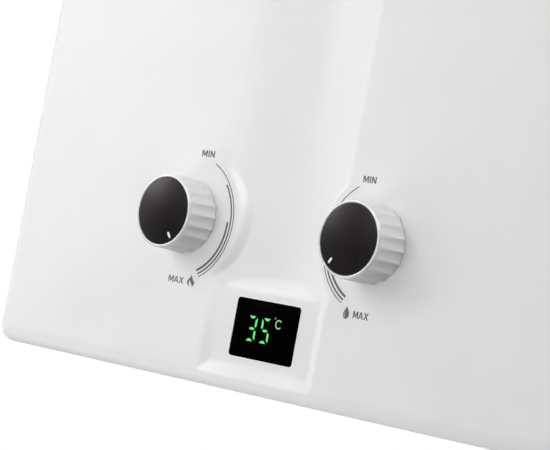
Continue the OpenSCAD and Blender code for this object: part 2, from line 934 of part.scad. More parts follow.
module stub(x, top) {
    translate([x, conn_y, 0]) difference() {
        union() {
            translate([0, 0, stub_tip])
                cylinder(r1 = thread_r - stub_chamfer, r2 = thread_r, h = stub_chamfer);
            rod_along_z(thread_r, [stub_tip + stub_chamfer, neck_low]);
            rod_along_z(neck_r, [neck_low, shelf_z]);
            hex_along_z(hex_r, [shelf_z, shelf_z + hex_h]);
            rod_along_z(neck_r, [shelf_z + hex_h, top]);
        }
        rod_along_z(stub_bore_r, [stub_tip - cut, stub_tip + stub_bore_l]);
    }
}

module gas_inlet() {
    color("#c8a24c") stub(-knob_x, valve_z0);
}

module cold_inlet() {
    color("#c8a24c") stub(knob_x, valve_z0);
}

module hot_outlet() {
    color("#c8a24c") stub(-hot_x, hot_joint_z);
}

module lock_nuts() {
    color("#c8a24c") for (x = [-hot_x, -knob_x, knob_x]) translate([x, conn_y, 0]) difference() {
        hex_along_z(hex_r, [shelf_under - lock_nut_h, shelf_under]);
        rod_along_z(neck_r + run_fit, [shelf_under - lock_nut_h - cut, shelf_under + cut]);
    }
}

// Nuts over the joints between pipes
module union_nuts() {
    outlet_x = [water_right + 2, outlet_boss_x + outlet_run];
    cold_z = [cold_joint_z - tube_nut_h / 2, cold_joint_z + tube_nut_h / 2];
    hot_z = [hot_joint_z - 6, hot_joint_z + hot_nut_up];
    color("#c8a24c") {
        translate([0, conn_y, knob_z]) difference() {
            hex_along_x(union_r, outlet_x);
            rod_along_x(neck_r + run_fit, [water_right, outlet_boss_x]);
            rod_along_x(tube_r + run_fit, [water_right, outlet_x[1] + cut]);
        }
        translate([cold_x, conn_y, 0]) difference() {
            hex_along_z(tube_nut_r, cold_z);
            rod_along_z(tube_r + run_fit, [cold_z[0] - cut, cold_z[1] + cut]);
        }
        translate([-hot_x, conn_y, 0]) difference() {
            hex_along_z(union_r, hot_z);
            rod_along_z(neck_r + run_fit, [hot_z[0] - cut, hot_joint_z]);
            rod_along_z(tube_r + run_fit, [hot_joint_z - cut, hot_z[1] + cut]);
        }
    }
}

// Gas path

// Block of a valve with round upright edges
module valve_block(x0, x1) {
    translate([(x0 + x1) / 2, conn_y, 0]) across_z([valve_z0, valve_z1])
        round_rect(x1 - x0, valve_side, valve_corner);
}

// Bore for the spindle in a valve block and its front boss
module spindle_bore(side) {
    at_knob(side) {
        rod_along_y(collar_r + hole_fit, [valve_boss_y - cut, valve_boss_y + spindle_collar + hole_fit]);
        rod_along_y(drum_r + run_fit, [valve_boss_y, drum_end + hole_fit]);
    }
}

module gas_valve_body() {
    color("#a9adb0") difference() {
        union() {
            valve_block(gas_left, gas_right);
            at_knob(-1) rod_along_y(valve_boss_r, [valve_boss_y, valve_y0 + valve_corner]);
            translate([0, rod_y, knob_z]) rod_along_x(guide_r + 3, [gas_right - valve_corner, gas_neck_x]);
        }
        spindle_bore(-1);
        translate([0, rod_y, knob_z]) {
            rod_along_x(poppet_bore_r, [gas_left - cut, seat_x]);
            rod_along_x(throat_r, [seat_x - cut, gas_right - 2]);
            rod_along_x(rod_r + run_fit, [gas_right - 3, gas_neck_x + cut]);
        }
    }
}

module gas_solenoid() {
    cap_x = gas_left - solenoid_l;
    groove_w = 1.5;
    groove_pitch = 6;
    color("#26282a") translate([0, rod_y, knob_z]) {
        difference() {
            union() {
                rod_along_x(solenoid_r, [cap_x, gas_left]);
                rod_along_x(solenoid_r + solenoid_flange, [gas_left - solenoid_flange_t, gas_left]);
                rod_along_x(solenoid_r / 2.5, [cap_x - 3, gas_left]);
            }
            for (i = [1:3]) translate([gas_left - solenoid_flange_t - i * groove_pitch, 0, 0])
                rotate([0, 90, 0]) rotate_extrude() translate([solenoid_r, 0])
                    square([2, groove_w], center = true);
        }
        for (y = [-4, 4]) translate([0, y, 0])
            box([cap_x - 9, cap_x], [-1.5, 1.5], [solenoid_r / 2 - 0.5, solenoid_r / 2 + 0.3]);
    }
}

module gas_poppet() {
    color("#33363a") translate([0, rod_y, knob_z]) {
        rod_along_x(poppet_r, [seat_x - poppet_t, seat_x]);
        rod_along_x(4, [seat_x - poppet_t - 4, seat_x]);
    }
}

// Points of one ring of a wire of radius w round centre c, square to direction u
function ring(c, u, w, sides) =
    let (side = unit(cross([0, 0.3, 1], u)), up = cross(u, side))
    [for (k = [0:sides - 1]) c + w * (cos(k * 360 / sides) * side + sin(k * 360 / sides) * up)];

// A wire swept along points as one closed solid
module wire(path, w, sides) {
    last = len(path) - 1;
    dirs = [for (i = [0:last]) unit(path[min(i + 1, last)] - path[max(i - 1, 0)])];
    points = [for (i = [0:last]) each ring(path[i], dirs[i], w, sides)];
    walls = [for (i = [0:last - 1], k = [0:sides - 1])
        let (a = i * sides + k, b = i * sides + (k + 1) % sides)
        each [[a, b, b + sides], [a, b + sides, a + sides]]];
    tail = last * sides;
    ends = [for (k = [1:sides - 2]) each [[0, k + 1, k], [tail, tail + k, tail + k + 1]]];
    polyhedron(points, concat(walls, ends), convexity = 10);
}

module poppet_spring() {
    from = seat_x - poppet_t - spring_wire;
    to = gas_left + spring_wire;
    steps = 8 * spring_turns;
    path = [for (i = [0:steps]) let (angle = i * 360 / 8)
        [from + (to - from) * i / steps, rod_y + spring_r * cos(angle), knob_z + spring_r * sin(angle)]];
    color("#9a9ea2") wire(path, spring_wire, 6);
}

module gas_riser() {
    manifold_y = (manifold_y0 + manifold_y1) / 2;
    color("#b98a4a") {
        pipe([
            [-knob_x, conn_y, valve_z1],
            [-knob_x, conn_y, riser_low],
            [-knob_x, manifold_y, riser_low],
            [-knob_x, manifold_y, bar_axis_z - manifold_h / 2]
        ], riser_r, [riser_bend, riser_bend]);
        translate([-knob_x, conn_y, 0]) across_z([valve_z1, valve_z1 + riser_plate_t])
            round_rect(2 * riser_r + riser_plate_w, 2 * riser_r + riser_plate_h, riser_plate_h / 2 - 1);
    }
}

function bar_x(i) = (i - (bars - 1) / 2) * bar_pitch;

module gas_manifold() {
    z = [bar_axis_z - manifold_h / 2, bar_axis_z + manifold_h / 2];
    color("#a9adb0") difference() {
        union() {
            across_x([-manifold_x, manifold_x]) translate([(manifold_y0 + manifold_y1) / 2, bar_axis_z])
                round_rect(manifold_y1 - manifold_y0, manifold_h, 3);
            for (s = [-1, 1]) translate([s * (manifold_x - 2.5), 0, 0])
                box([-1.5, 1.5], [manifold_y1 - 2, chamber_front], [z[0] + 3, z[1] - 3]);
        }
        for (i = [0:bars - 1]) translate([bar_x(i), 0, bar_axis_z])
            rod_along_y(nozzle_r + hole_fit, [manifold_y1 - 4, manifold_y1 + cut]);
    }
}

module gas_nozzles() {
    seat = manifold_y1 - 3.8;
    tip = manifold_y1 + nozzle_l;
    color("#c8a24c") for (i = [0:bars - 1]) translate([bar_x(i), 0, bar_axis_z]) difference() {
        union() {
            rod_along_y(nozzle_r, [seat, tip]);
            hex_along_y(nozzle_r + nozzle_hex, [manifold_y1, manifold_y1 + nozzle_r]);
        }
        rod_along_y(nozzle_r / 4, [seat - cut, tip + cut]);
    }
}

module chamber_outline(g) {
    translate([0, chamber_y]) round_rect(chamber_w - 2 * g, chamber_d - 2 * g, chamber_corner - g);
}

module burner_frame() {
    half = chamber_w / 2 - frame_t / 2;
    tab_z = chamber_z0 - 20;
    color("#9ea3a6") {
        difference() {
            across_z([frame_z0, chamber_z0]) chamber_outline(0);
            across_z([frame_z0 - cut, chamber_z0 + cut]) chamber_outline(frame_t);
            for (i = [0:bars - 1]) translate([bar_x(i), 0, bar_axis_z])
                rod_along_y(bar_tube_r, [chamber_front - cut, chamber_front + 2 * frame_t]);
        }
        for (y = [bar_front + 6, bar_rear - 6 - rail_w])
            box([-half, half], [y, y + rail_w], [rail_z - rail_t, rail_z]);
        for (s = [-1, 1]) {
            x = [s * frame_tab_x - frame_tab_w / 2, s * frame_tab_x + frame_tab_w / 2];
            box(x, [chamber_rear - frame_t / 2, -plate_t], [tab_z, tab_z + frame_tab_t]);
            box(x, [-plate_t - frame_tab_t, -plate_t], [tab_z - frame_tab_h, tab_z + frame_tab_t]);
        }
    }
}

module burner_bars() {
    top = rail_z + bar_h;
    slot_pitch = (bar_rear - bar_front - 8) / slots;
    color("#8f9498") difference() {
        for (i = [0:bars - 1]) translate([bar_x(i), 0, 0]) across_y([bar_front, bar_rear]) {
            translate([0, bar_axis_z]) circle(bar_tube_r);
            translate([-bar_web / 2, bar_axis_z]) square([bar_web, top - bar_axis_z - slot_depth]);
            translate([-bar_head_w / 2, top - bar_head_h]) square([bar_head_w, bar_head_h - 2]);
            translate([-bar_head_w / 2 + 1.5, top - 3]) square([bar_head_w - 3, 3]);
        }
        for (k = [0:slots - 1]) translate([0, bar_front + 4 + (k + 0.5) * slot_pitch, 0])
            box([-chamber_w, chamber_w], [-slot_w / 2, slot_w / 2], [top - slot_depth, top + cut]);
        for (i = [0:bars - 1]) translate([bar_x(i), 0, bar_axis_z])
            rod_along_y(bar_tube_r - 1.5, [bar_front - cut, bar_front + 18]);
    }
}

module at_electrodes() {
    for (x = electrode_x) translate([x, 0, electrode_z]) children();
}

module electrode_insulators() {
    y = [chamber_front - electrode_out, chamber_front + electrode_in];
    color("#f3efe6") at_electrodes() difference() {
        union() {
            rod_along_y(electrode_r, y);
            rod_along_y(electrode_r + 2, [chamber_front - electrode_r, chamber_front]);
        }
        rod_along_y(wire_r + run_fit, [y[0] - cut, y[1] + cut]);
    }
}

module electrode_rods() {
    outside = chamber_front - electrode_out - 4;
    inside = chamber_front + electrode_in + 16;
    color("#8d9195") at_electrodes()
        pipe([[0, outside, 0], [0, inside, 0], [0, inside, -electrode_drop]], wire_r, [3 * wire_r]);
}

// Water path

module at_rod() {
    translate([0, rod_y, knob_z]) children();
}

module at_valve_bolts() {
    for (i = [0:valve_bolts - 1]) at_rod() rotate([(i + 0.5) * 360 / valve_bolts, 0, 0])
        translate([0, 0, valve_bolt_circle]) children();
}

module water_valve_body() {
    flange_x = water_x0 + valve_flange_t;
    color("#c39a45") difference() {
        union() {
            valve_block(water_x0 + 4, water_right);
            at_rod() rod_along_x(diaphragm_r, [water_x0, flange_x]);
            at_rod() rod_along_x(dome_r, [flange_x - cut, flange_x + dome_t]);
            at_knob(1) rod_along_y(valve_boss_r, [valve_boss_y, valve_y0 + valve_corner]);
            translate([0, conn_y, knob_z]) rod_along_x(neck_r, [water_right - 4, outlet_boss_x]);
        }
        spindle_bore(1);
        at_rod() rod_along_x(dish_r, [water_x0 - cut, flange_x]);
        at_valve_bolts() rod_along_x(valve_bolt_r + hole_fit, [water_x0 - cut, flange_x + cut]);
    }
}

module diaphragm() {
    color("#2b2b2d") difference() {
        at_rod() rod_along_x(diaphragm_r, [cover_x1, water_x0]);
        at_valve_bolts() rod_along_x(valve_bolt_r + hole_fit, [cover_x1 - cut, water_x0 + cut]);
    }
}

module diaphragm_cover() {
    flange_x = cover_x1 - valve_flange_t;
    color("#3a3d40") difference() {
        at_rod() {
            rod_along_x(diaphragm_r, [flange_x, cover_x1]);
            rod_along_x(dome_r, [cover_x0, cover_x1]);
            rod_along_x(guide_r, [guide_x0, cover_x0 + cut]);
        }
        at_rod() rod_along_x(dish_r, [cover_x1 - dish_depth, cover_x1 + cut]);
        at_rod() rod_along_x(rod_r + run_fit, [guide_x0 - cut, cover_x1]);
        at_valve_bolts() rod_along_x(valve_bolt_r + hole_fit, [flange_x - cut, cover_x1 + cut]);
    }
}

module valve_screws() {
    head_x = cover_x1 - valve_flange_t;
    color("#b8bcbf") at_valve_bolts() {
        rod_along_x(valve_bolt_r, [head_x, water_x0 + valve_flange_t]);
        hex_along_x(bolt_head_r, [head_x - bolt_head_h, head_x]);
    }
}

module push_rod() {
    color("#c3c7ca") at_rod() {
        rod_along_x(rod_r, [seat_x, cover_x1]);
        rod_along_x(rod_plate_r, [cover_x1 - rod_plate_t, cover_x1]);
        rod_along_x(rod_r + 2.5, [tab_x1 - tab_t, tab_x1]);
        box([tab_x1 - tab_t, tab_x1], [-tab_w / 2, tab_w / 2], [0, guide_r + tab_rise]);
    }
}

module micro_switch() {
    z0 = knob_z + guide_r;
    hole = plunger_side / 2 + hole_fit;
    color("#1d1f21") difference() {
        box([switch_x0, cover_x0], [rod_y - switch_w / 2, rod_y + switch_w / 2], [z0, z0 + switch_h]);
        translate([0, rod_y, plunger_z])
            box([switch_x0 - cut, plunger_x1 + cut], [-hole, hole], [-hole, hole]);
    }
}

module switch_plunger() {
    half = plunger_side / 2;
    color("#b5402f") translate([0, rod_y, plunger_z])
        box([tab_x1, plunger_x1], [-half, half], [-half, half]);
}

module drain_plug() {
    neck = 5;
    low = shelf_under - drain_grip;
    color("#d8d4c8") translate([knob_x + drain_x, conn_y - drain_y, 0]) {
        rod_along_z(neck, [valve_z0 - 8, valve_z0]);
        difference() {
            rod_along_z(drain_r, [low, valve_z0 - 4]);
            for (i = [0:11]) rotate([0, 0, i * 30]) translate([drain_r + 0.6, 0, 0])
                rod_along_z(1.4, [low - cut, shelf_under]);
        }
    }
}

module cold_pipe() {
    color("#c4764a") pipe([
        [outlet_boss_x, conn_y, knob_z],
        [cold_x, conn_y, knob_z],
        [cold_x, conn_y, cold_joint_z]
    ], tube_r, [tube_bend]);
}

function pass_y(i) = chamber_y + (i - (passes - 1) / 2) * pass_pitch;

// Corners of the tube: up beside the chamber, round it with a step up at the back in each turn, then to
// and fro through the fins
coil_points = concat(
    [[cold_x, conn_y, cold_joint_z], [cold_x, conn_y, coil_z], [cold_x, coil_front, coil_z]],
    [for (turn = [1:coil_turns]) let (
        z = coil_z + turn * coil_rise,
        step_x = ((coil_turns + 1) / 2 - turn) * coil_step,
        last = turn == coil_turns
    ) each [
        [-coil_x, coil_front, z - coil_rise],
        [-coil_x, coil_rear, z - coil_rise],
        [step_x, coil_rear, z - coil_rise],
        [step_x, coil_rear, z],
        [last ? pass_x : coil_x, coil_rear, z],
        [last ? pass_x : coil_x, last ? pass_y(0) : coil_front, z]
    ]],
    [[pass_x, pass_y(0), pass_z]],
    [for (i = [0:passes - 2]) let (x = i % 2 == 0 ? -pass_x : pass_x) each [
        [x, pass_y(i), pass_z],
        [x, pass_y(i + 1), pass_z]
    ]],
    [[-pass_x, pass_y(passes - 1), pass_z]]
);

// The bends round the corners of the chamber are wider than the others
function at_corner(p) = abs(p[0]) >= coil_x && (p[1] == coil_front || p[1] == coil_rear);
coil_bends = [for (i = [1:len(coil_points) - 2]) at_corner(coil_points[i]) ? coil_bend : tube_bend];

module exchanger_tube() {
    color("#c4764a") pipe(coil_points, tube_r, coil_bends);
}

module exchanger_fins() {
    depth = chamber_d - 2 * chamber_t - 2 * hole_fit;
    color("#c98255") for (i = [0:fins - 1]) {
        x = (i - (fins - 1) / 2) * fin_pitch;
        across_x([x - fin_t / 2, x + fin_t / 2]) difference() {
            translate([chamber_y, pass_z]) square([depth, fin_h], center = true);
            for (k = [0:passes - 1]) translate([pass_y(k), pass_z]) circle(tube_r + run_fit);
        }
    }
}

module combustion_chamber() {
    color("#b9703f") difference() {
        union() {
            across_z([chamber_z0, chamber_z1]) chamber_outline(0);
            across_z([chamber_z1 - chamber_flange_t, chamber_z1]) chamber_outline(-chamber_flange);
        }
        across_z([chamber_z0 - cut, chamber_z1 + cut]) chamber_outline(chamber_t);
        for (k = [0:passes - 1]) translate([0, pass_y(k), pass_z])
            rod_along_x(tube_r + hole_fit, [-chamber_w, chamber_w]);
        at_electrodes() rod_along_y(electrode_r + hole_fit, [chamber_front - cut, chamber_front + 3]);
    }
}

module hot_pipe() {
    y = pass_y(passes - 1);
    color("#c4764a") pipe([
        [-pass_x, y, pass_z],
        [-hot_x, y, pass_z],
        [-hot_x, y, hot_jog_z],
        [-hot_x, conn_y, hot_jog_z],
        [-hot_x, conn_y, hot_joint_z]
    ], tube_r, [tube_bend, tube_bend, tube_bend]);
}

module outlet_sensor() {
    z = chamber_z0 - 10;
    clip_h = 14;
    clip_t = 2.2;
    color("#d9d5cc") translate([-hot_x, pass_y(passes - 1), 0]) difference() {
        union() {
            rod_along_z(tube_r + clip_t, [z, z + clip_h]);
            translate([0, 0, z + clip_h / 2]) rod_along_y(4, [tube_r, tube_r + 9]);
        }
        rod_along_z(tube_r + run_fit, [z - cut, z + clip_h + cut]);
    }
}

// Flue

// Side view of the hood in Y and Z, drawn in by g
module hood_outline(g, low) {
    polygon([
        [hood_front + g, low],
        [hood_front + g, chamber_z1 + hood_knee],
        [hood_front + g + hood_slope, hood_z1 - g],
        [hood_rear - g, hood_z1 - g],
        [hood_rear - g, low]
    ]);
}

module draft_hood() {
    window_x = hood_x - 16;
    slot_l = 44;
    slot_pitch = 24;
    slot_z = chamber_z1 + hood_knee + slot_l / 2;
    side_slots = floor((hood_rear - hood_front) / slot_pitch) - 1;
    first_y = chamber_y - 6 - (side_slots - 1) / 2 * slot_pitch;
    color("#b4b9bc") difference() {
        union() {
            across_x([-hood_x, hood_x]) hood_outline(0, chamber_z1);
            across_z([chamber_z1, chamber_z1 + chamber_flange_t]) chamber_outline(-chamber_flange);
            box([-hood_x, hood_x], [hood_rear - 2, -plate_t], [hood_z1 - hood_t, hood_z1]);
            box([-hood_x, hood_x], [-plate_t - hood_t, -plate_t], [hood_z1 - hood_hang, hood_z1]);
        }
        across_x([-hood_x + hood_t, hood_x - hood_t]) hood_outline(hood_t, chamber_z1 - cut);
        translate([0, collar_y, 0])
            rod_along_z(collar_d / 2 - collar_t, [hood_z1 - 2 * hood_t, hood_z1 + cut]);
        box([-window_x, window_x], [hood_rear - 2, hood_rear + cut],
            [chamber_z1 + hood_knee - 3, hood_z1 - hood_hang - 4]);
        for (i = [0:side_slots - 1]) translate([0, first_y + i * slot_pitch, slot_z])
            across_x([-hood_x - cut, hood_x + cut]) slot(10, slot_l);
    }
}

module flue_collar() {
    r = collar_d / 2;
    color("#c2c6c9") translate([0, collar_y, hood_z1]) rotate_extrude() polygon([
        [r - collar_t, 0], [r + collar_flange, 0], [r + collar_flange, collar_t], [r, collar_t],
        [r, collar_h], [r - collar_t, collar_h]
    ]);
}

module flue_thermostat() {
    disc_r = 8;
    color("#3a3d40") translate([hood_x - 2 * disc_r, collar_y - thermostat_off, hood_z1]) {
        rod_along_z(disc_r, [0, 5]);
        box([-1.5 * disc_r, 1.5 * disc_r], [-4.5, 4.5], [0, 1]);
        for (x = [-3, 3]) translate([x, 0, 0]) box([-0.4, 0.4], [-2.5, 2.5], [4, 11]);
    }
}

// Electrics

module control_box() {
    y = [-plate_t - control_d, -plate_t];
    z = control_z0 + control_h / 2;
    lid_x = control_x0 + control_lid_t;
    socket_w = control_w / 2;
    socket_pitch = 30;
    color("#e6e6e2") difference() {
        union() {
            across_x([lid_x, control_x1]) translate([(y[0] + y[1]) / 2, z])
                round_rect(control_d, control_h, control_corner);
            across_x([control_x0, lid_x]) translate([(y[0] + y[1]) / 2 - 1, z])
                round_rect(control_d - 2, control_h - 4, control_corner);
        }
        for (i = [-1:1]) translate([(control_x0 + control_x1) / 2, 0, z + i * socket_pitch])
            box([-socket_w / 2, socket_w / 2], [y[0] - cut, y[0] + 5], [-10, 10]);
    }
}

module battery_box() {
    inner_x = [battery_x0 + battery_wall, battery_x1 - battery_wall];
    inner_y = [battery_y0 + battery_wall, battery_y1 - battery_wall];
    color("#3a3d40") difference() {
        union() {
            box([battery_x0, battery_x1], [battery_y0, battery_y1], [battery_z0, battery_z1]);
            for (y = [battery_y0, battery_y1 - hinge_ear_t])
                hinge_ear([y, y + hinge_ear_t]);
        }
        box(inner_x, inner_y, [battery_z0 - cut, battery_z1 - battery_wall]);
        translate([hinge_x, 0, hinge_z])
            rod_along_y(hinge_pin_r + run_fit, [battery_y0 - cut, battery_y1 + cut]);
    }
}

// An ear beside the battery box that carries one end of the hinge
module hinge_ear(y) {
    across_y(y) {
        translate([hinge_x, hinge_z]) circle(hinge_barrel_r);
        translate([battery_x1 - cut, hinge_z + 1])
            square([hinge_x - battery_x1 + cut + hinge_barrel_r, hinge_ear_h]);
        translate([hinge_x - hinge_barrel_r, hinge_z]) square([2 * hinge_barrel_r, 2]);
    }
}

module battery_lid() {
    y = [battery_y0 + hinge_ear_t + lid_gap, battery_y1 - hinge_ear_t - lid_gap];
    top = battery_z0 - lid_gap;
    grip_l = 24;
    grip_pitch = 2.4;
    hook_x = battery_x0 + battery_wall + 1.2;
    color("#44484b") {
        difference() {
            box([battery_x0, hinge_x], y, [top - lid_t, top]);
            for (i = [0:5]) translate([battery_x0 + 4 + i * grip_pitch, battery_y, 0])
                box([0, grip_pitch / 2], [-grip_l / 2, grip_l / 2], [top - lid_t - cut, top - lid_t + 0.6]);
        }
        translate([hinge_x, 0, hinge_z]) {
            rod_along_y(hinge_barrel_r, y);
            rod_along_y(hinge_pin_r, [battery_y0, battery_y1]);
        }
        translate([hook_x, battery_y, 0])
            box([0, 1.4], [-lid_hook, lid_hook], [top - lid_gap, top + lid_hook]);
    }
}

module battery_contacts() {
    z = (battery_z0 + battery_z1) / 2;
    x = (battery_x0 + battery_x1) / 2;
    color("#c3c7ca") for (y = [battery_y0 + battery_wall, battery_y1 - battery_wall - contact_t])
        translate([x, y, z])
            box([-contact_w / 2, contact_w / 2], [0, contact_t], [-contact_h / 2, contact_h / 2]);
}

front_cover();
back_plate();
cover_screws();
pipe_shelf();
display_lens();
display_carrier();
display_board();
digit_module();
gas_knob_body();
gas_knob_cap();
gas_knob_pointer();
gas_spindle();
water_knob_body();
water_knob_cap();
water_knob_pointer();
water_spindle();
gland_nuts();
gas_inlet();
cold_inlet();
hot_outlet();
lock_nuts();
union_nuts();
gas_valve_body();
gas_solenoid();
gas_poppet();
poppet_spring();
gas_riser();
gas_manifold();
gas_nozzles();
burner_frame();
burner_bars();
electrode_insulators();
electrode_rods();
water_valve_body();
diaphragm();
diaphragm_cover();
valve_screws();
push_rod();
drain_plug();
micro_switch();
switch_plunger();
cold_pipe();
exchanger_tube();
exchanger_fins();
combustion_chamber();
hot_pipe();
outlet_sensor();
draft_hood();
flue_collar();
flue_thermostat();
control_box();
battery_box();
battery_lid();
battery_contacts();
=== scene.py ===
"""Wall-hung tankless gas water heater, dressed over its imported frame. Sizes are in millimetres."""
import math

import bmesh
import bpy
import numpy as np
from mathutils import Matrix, Vector


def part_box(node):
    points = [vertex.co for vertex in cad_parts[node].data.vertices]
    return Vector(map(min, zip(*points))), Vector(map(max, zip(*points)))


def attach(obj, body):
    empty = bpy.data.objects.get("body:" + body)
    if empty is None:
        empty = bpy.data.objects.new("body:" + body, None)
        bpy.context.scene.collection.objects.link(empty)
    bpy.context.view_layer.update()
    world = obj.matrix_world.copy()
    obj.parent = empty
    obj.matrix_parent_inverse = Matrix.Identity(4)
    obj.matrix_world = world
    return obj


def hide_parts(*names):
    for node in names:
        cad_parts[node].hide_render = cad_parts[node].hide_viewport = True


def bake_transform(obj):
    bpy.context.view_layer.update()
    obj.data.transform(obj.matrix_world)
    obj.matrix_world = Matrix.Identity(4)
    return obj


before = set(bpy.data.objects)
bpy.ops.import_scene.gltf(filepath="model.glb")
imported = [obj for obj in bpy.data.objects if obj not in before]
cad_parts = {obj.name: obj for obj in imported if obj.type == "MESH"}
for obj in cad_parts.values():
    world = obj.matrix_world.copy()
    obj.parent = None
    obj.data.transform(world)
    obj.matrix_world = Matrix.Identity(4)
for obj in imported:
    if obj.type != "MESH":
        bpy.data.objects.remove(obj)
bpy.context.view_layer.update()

MM = 0.001
FULL = 2 * math.pi

# Nodes that are shown as the frame has them, by material
NODES_OF = {
    "galvanised_steel": ["back_plate", "pipe_shelf", "burner_frame", "draft_hood", "flue_collar"],
    "steel": [
        "cover_screws", "valve_screws", "push_rod", "gas_spindle", "water_spindle", "electrode_rods",
        "battery_contacts",
    ],
    "burner_steel": ["burner_bars"],
    "black_plastic": [
        "display_carrier", "digit_module", "gas_solenoid", "diaphragm_cover", "micro_switch",
        "flue_thermostat", "battery_box", "battery_lid",
    ],
    "board_green": ["display_board"],
    "brass": ["gland_nuts", "lock_nuts", "union_nuts", "water_valve_body", "gas_nozzles"],
    "cast_aluminium": ["gas_valve_body", "gas_manifold"],
    "copper": [
        "cold_pipe", "exchanger_tube", "exchanger_fins", "combustion_chamber", "hot_pipe", "gas_riser",
    ],
    "rubber": ["diaphragm", "gas_poppet"],
    "ceramic": ["electrode_insulators"],
    "pale_plastic": ["control_box", "drain_plug", "outlet_sensor"],
    "switch_red": ["switch_plunger"],
}


def box_mm(node):
    """Lowest and highest corner of a node."""
    low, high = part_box(node)
    return np.array(low) / MM, np.array(high) / MM


# Places and sizes taken from the frame
CASE_LOW, CASE_HIGH = box_mm("front_cover")
PANEL_Y = CASE_LOW[1]
COVER_REAR = CASE_HIGH[1]
CASE_X = CASE_HIGH[0]
CASE_BOTTOM = CASE_LOW[2]
CASE_TOP = CASE_HIGH[2]
CAP_LOW, CAP_HIGH = box_mm("water_knob_cap")
KNOB_X = (CAP_LOW[0] + CAP_HIGH[0]) / 2
KNOB_Z = (CAP_LOW[2] + CAP_HIGH[2]) / 2
CAP_R = (CAP_HIGH[0] - CAP_LOW[0]) / 2
KNOB_LOW, KNOB_HIGH = box_mm("water_knob_body")
KNOB_FOOT_Y = KNOB_HIGH[1]
KNOB_H = KNOB_HIGH[1] - KNOB_LOW[1]
CAP_DOME = KNOB_LOW[1] - CAP_LOW[1]
LENS_LOW, LENS_HIGH = box_mm("display_lens")
DISPLAY_Z = (LENS_LOW[2] + LENS_HIGH[2]) / 2
LENS_FRONT = LENS_LOW[1]
NUT_LOW, NUT_HIGH = box_mm("lock_nuts")

# Cover
SHEET = 1.0
EDGE_R = 7.0
SIDE_LIP = 12.0
BOTTOM_LIP = 26.0
TOP_LIP = 30.0
RIM_BEVEL = 0.28
RIM_ANGLE = 55.0
RIM_SEGMENTS = 2
COVER_SHARP = 40.0

# Trough, knob flats and display platform
TROUGH_DEPTH = 8.0
TROUGH_W = 68.0
TROUGH_R = (TROUGH_W ** 2 / 4 + TROUGH_DEPTH ** 2) / (2 * TROUGH_DEPTH)
TROUGH_REACH = 0.9 * TROUGH_R
TROUGH_EDGE = 0.5
TROUGH_FADE = 21.0
BOSS_R = 30.0
BOSS_FLARE = 2.6
PLATFORM_DEPTH = 3.0
PLATFORM_W = 56.0
PLATFORM_H = 33.0
PLATFORM_BEVEL = 5.0
SLOPE_EDGE = 0.8
PRESS_R = 0.9
PLATFORM_PRESS_R = 1.2
PRESS_TOP = -170.0
PRESS_LOW = -226.0

# Sample points of the disc that softens the pressing: share of its radius and count
DISC_CENTRE = 2.0
DISC_RINGS = ((0.34, 6), (0.67, 12), (1.0, 18))

# Holes of the panel
WINDOW_W = 36.4
WINDOW_H = 25.1
WINDOW_CORNER = 1.5
SPINDLE_HOLE_R = 8.0

# Grid of the cover
FINE_STEP = 0.625
FINE_X = 40.0
FINE_TOP = -165.0
LINE_LEAST = 1e-4
ROLL_STEPS = 6
HOLE_HALF = 10.0
HOLE_STEP = 2.0
SIDE_STEP = 9.0
SIDE_LIP_STEP = 5.0
UPPER_STEP = 11.0
BOTTOM_LIP_STEP = 3.0
TOP_LIP_STEP = 4.0
DEPTH_STEP = 12.0
WINDOW_CELLS_X = 3.2
WINDOW_CELLS_Z = 3.0
PATCH_SHARES = (0.34, 0.67, 1.0)

# Knobs
KNOB_BASE_R = 16.4
KNOB_RIM_R = 15.85
KNOB_EDGE = 0.5
KNOB_EDGE_STEPS = 4
KNOB_SHARP = 40.0
RING_SHARP = 60.0
RIM_EDGE = 0.45
RIM_EDGE_STEPS = 6
SEAT_DROP = 1.6
SEAT_FIT = 0.1
SEAT_EDGE = 0.25
SEAT_EDGE_STEPS = 3
SIDE_ROWS = 24
FLUTES = 20
FLUTE_POINTS = 14
FLUTE_R = 5.0
FLUTE_DEPTH = 0.9
FLUTE_LEAN = 0.0034
FLUTE_RUNOUT = 1.8
FLUTE_SOFT = 0.16
ROUND_POINTS = 144
RING_IN = 14.72
RING_OUT = 15.45
RING_STEPS = 10
RING_LIFT = 0.14
RING_TUCK = 0.04
RING_SUNK = 0.4
HUB_R = 6.5
HUB_FLOOR = 11.0
HUB_EDGE = 0.3
BORE_R = 4.06
BORE_EDGE = 0.4
POCKET_EDGE = 0.6
KNOB_WALL = 3.5
CAP_EDGE = 0.35
CAP_EDGE_TURN = 84.0
CAP_EDGE_STEPS = 5
CAP_FOOT = 0.3
CAP_ROWS = 24
POINTER_W = 1.1
POINTER_L = 2.8
POINTER_IN = 1.3
POINTER_STEPS = 8
POINTER_LEVELS = ((1.0, -0.35), (1.0, 0.02), (0.86, 0.07))
GAS_ANGLE = -57.0
WATER_ANGLE = -127.0
GAS_FLUTE_TURN = 2.0
WATER_FLUTE_TURN = -5.0

# Pipe stubs
THREAD_R = 10.48
THREAD_ROOT = 9.55
THREAD_PITCH = 1.814
THREAD_ROWS = 10
THREAD_START = 0.8
THREAD_LEAD = 0.5
THREAD_FLAT = 0.12
THREAD_RUNOUT = 1.2
STUB_POINTS = 72
STUB_SHARP = 30.0
STUB_EDGE = 0.5
STUB_BORE_R = 7.5
STUB_BORE_L = 30.0
NECK_R = 11.03
NECK_EDGE = 0.4
NECK_STEP = 0.01
HEX_R = 15.53
HEX_H = 7.0
HEX_EDGE_R = 1.6
HEX_EDGE_H = 0.8
NUT_PLAY = 1.5
NECK_LOW = NUT_LOW[2] - NUT_PLAY
SHELF_Z = NUT_HIGH[2] + NUT_PLAY

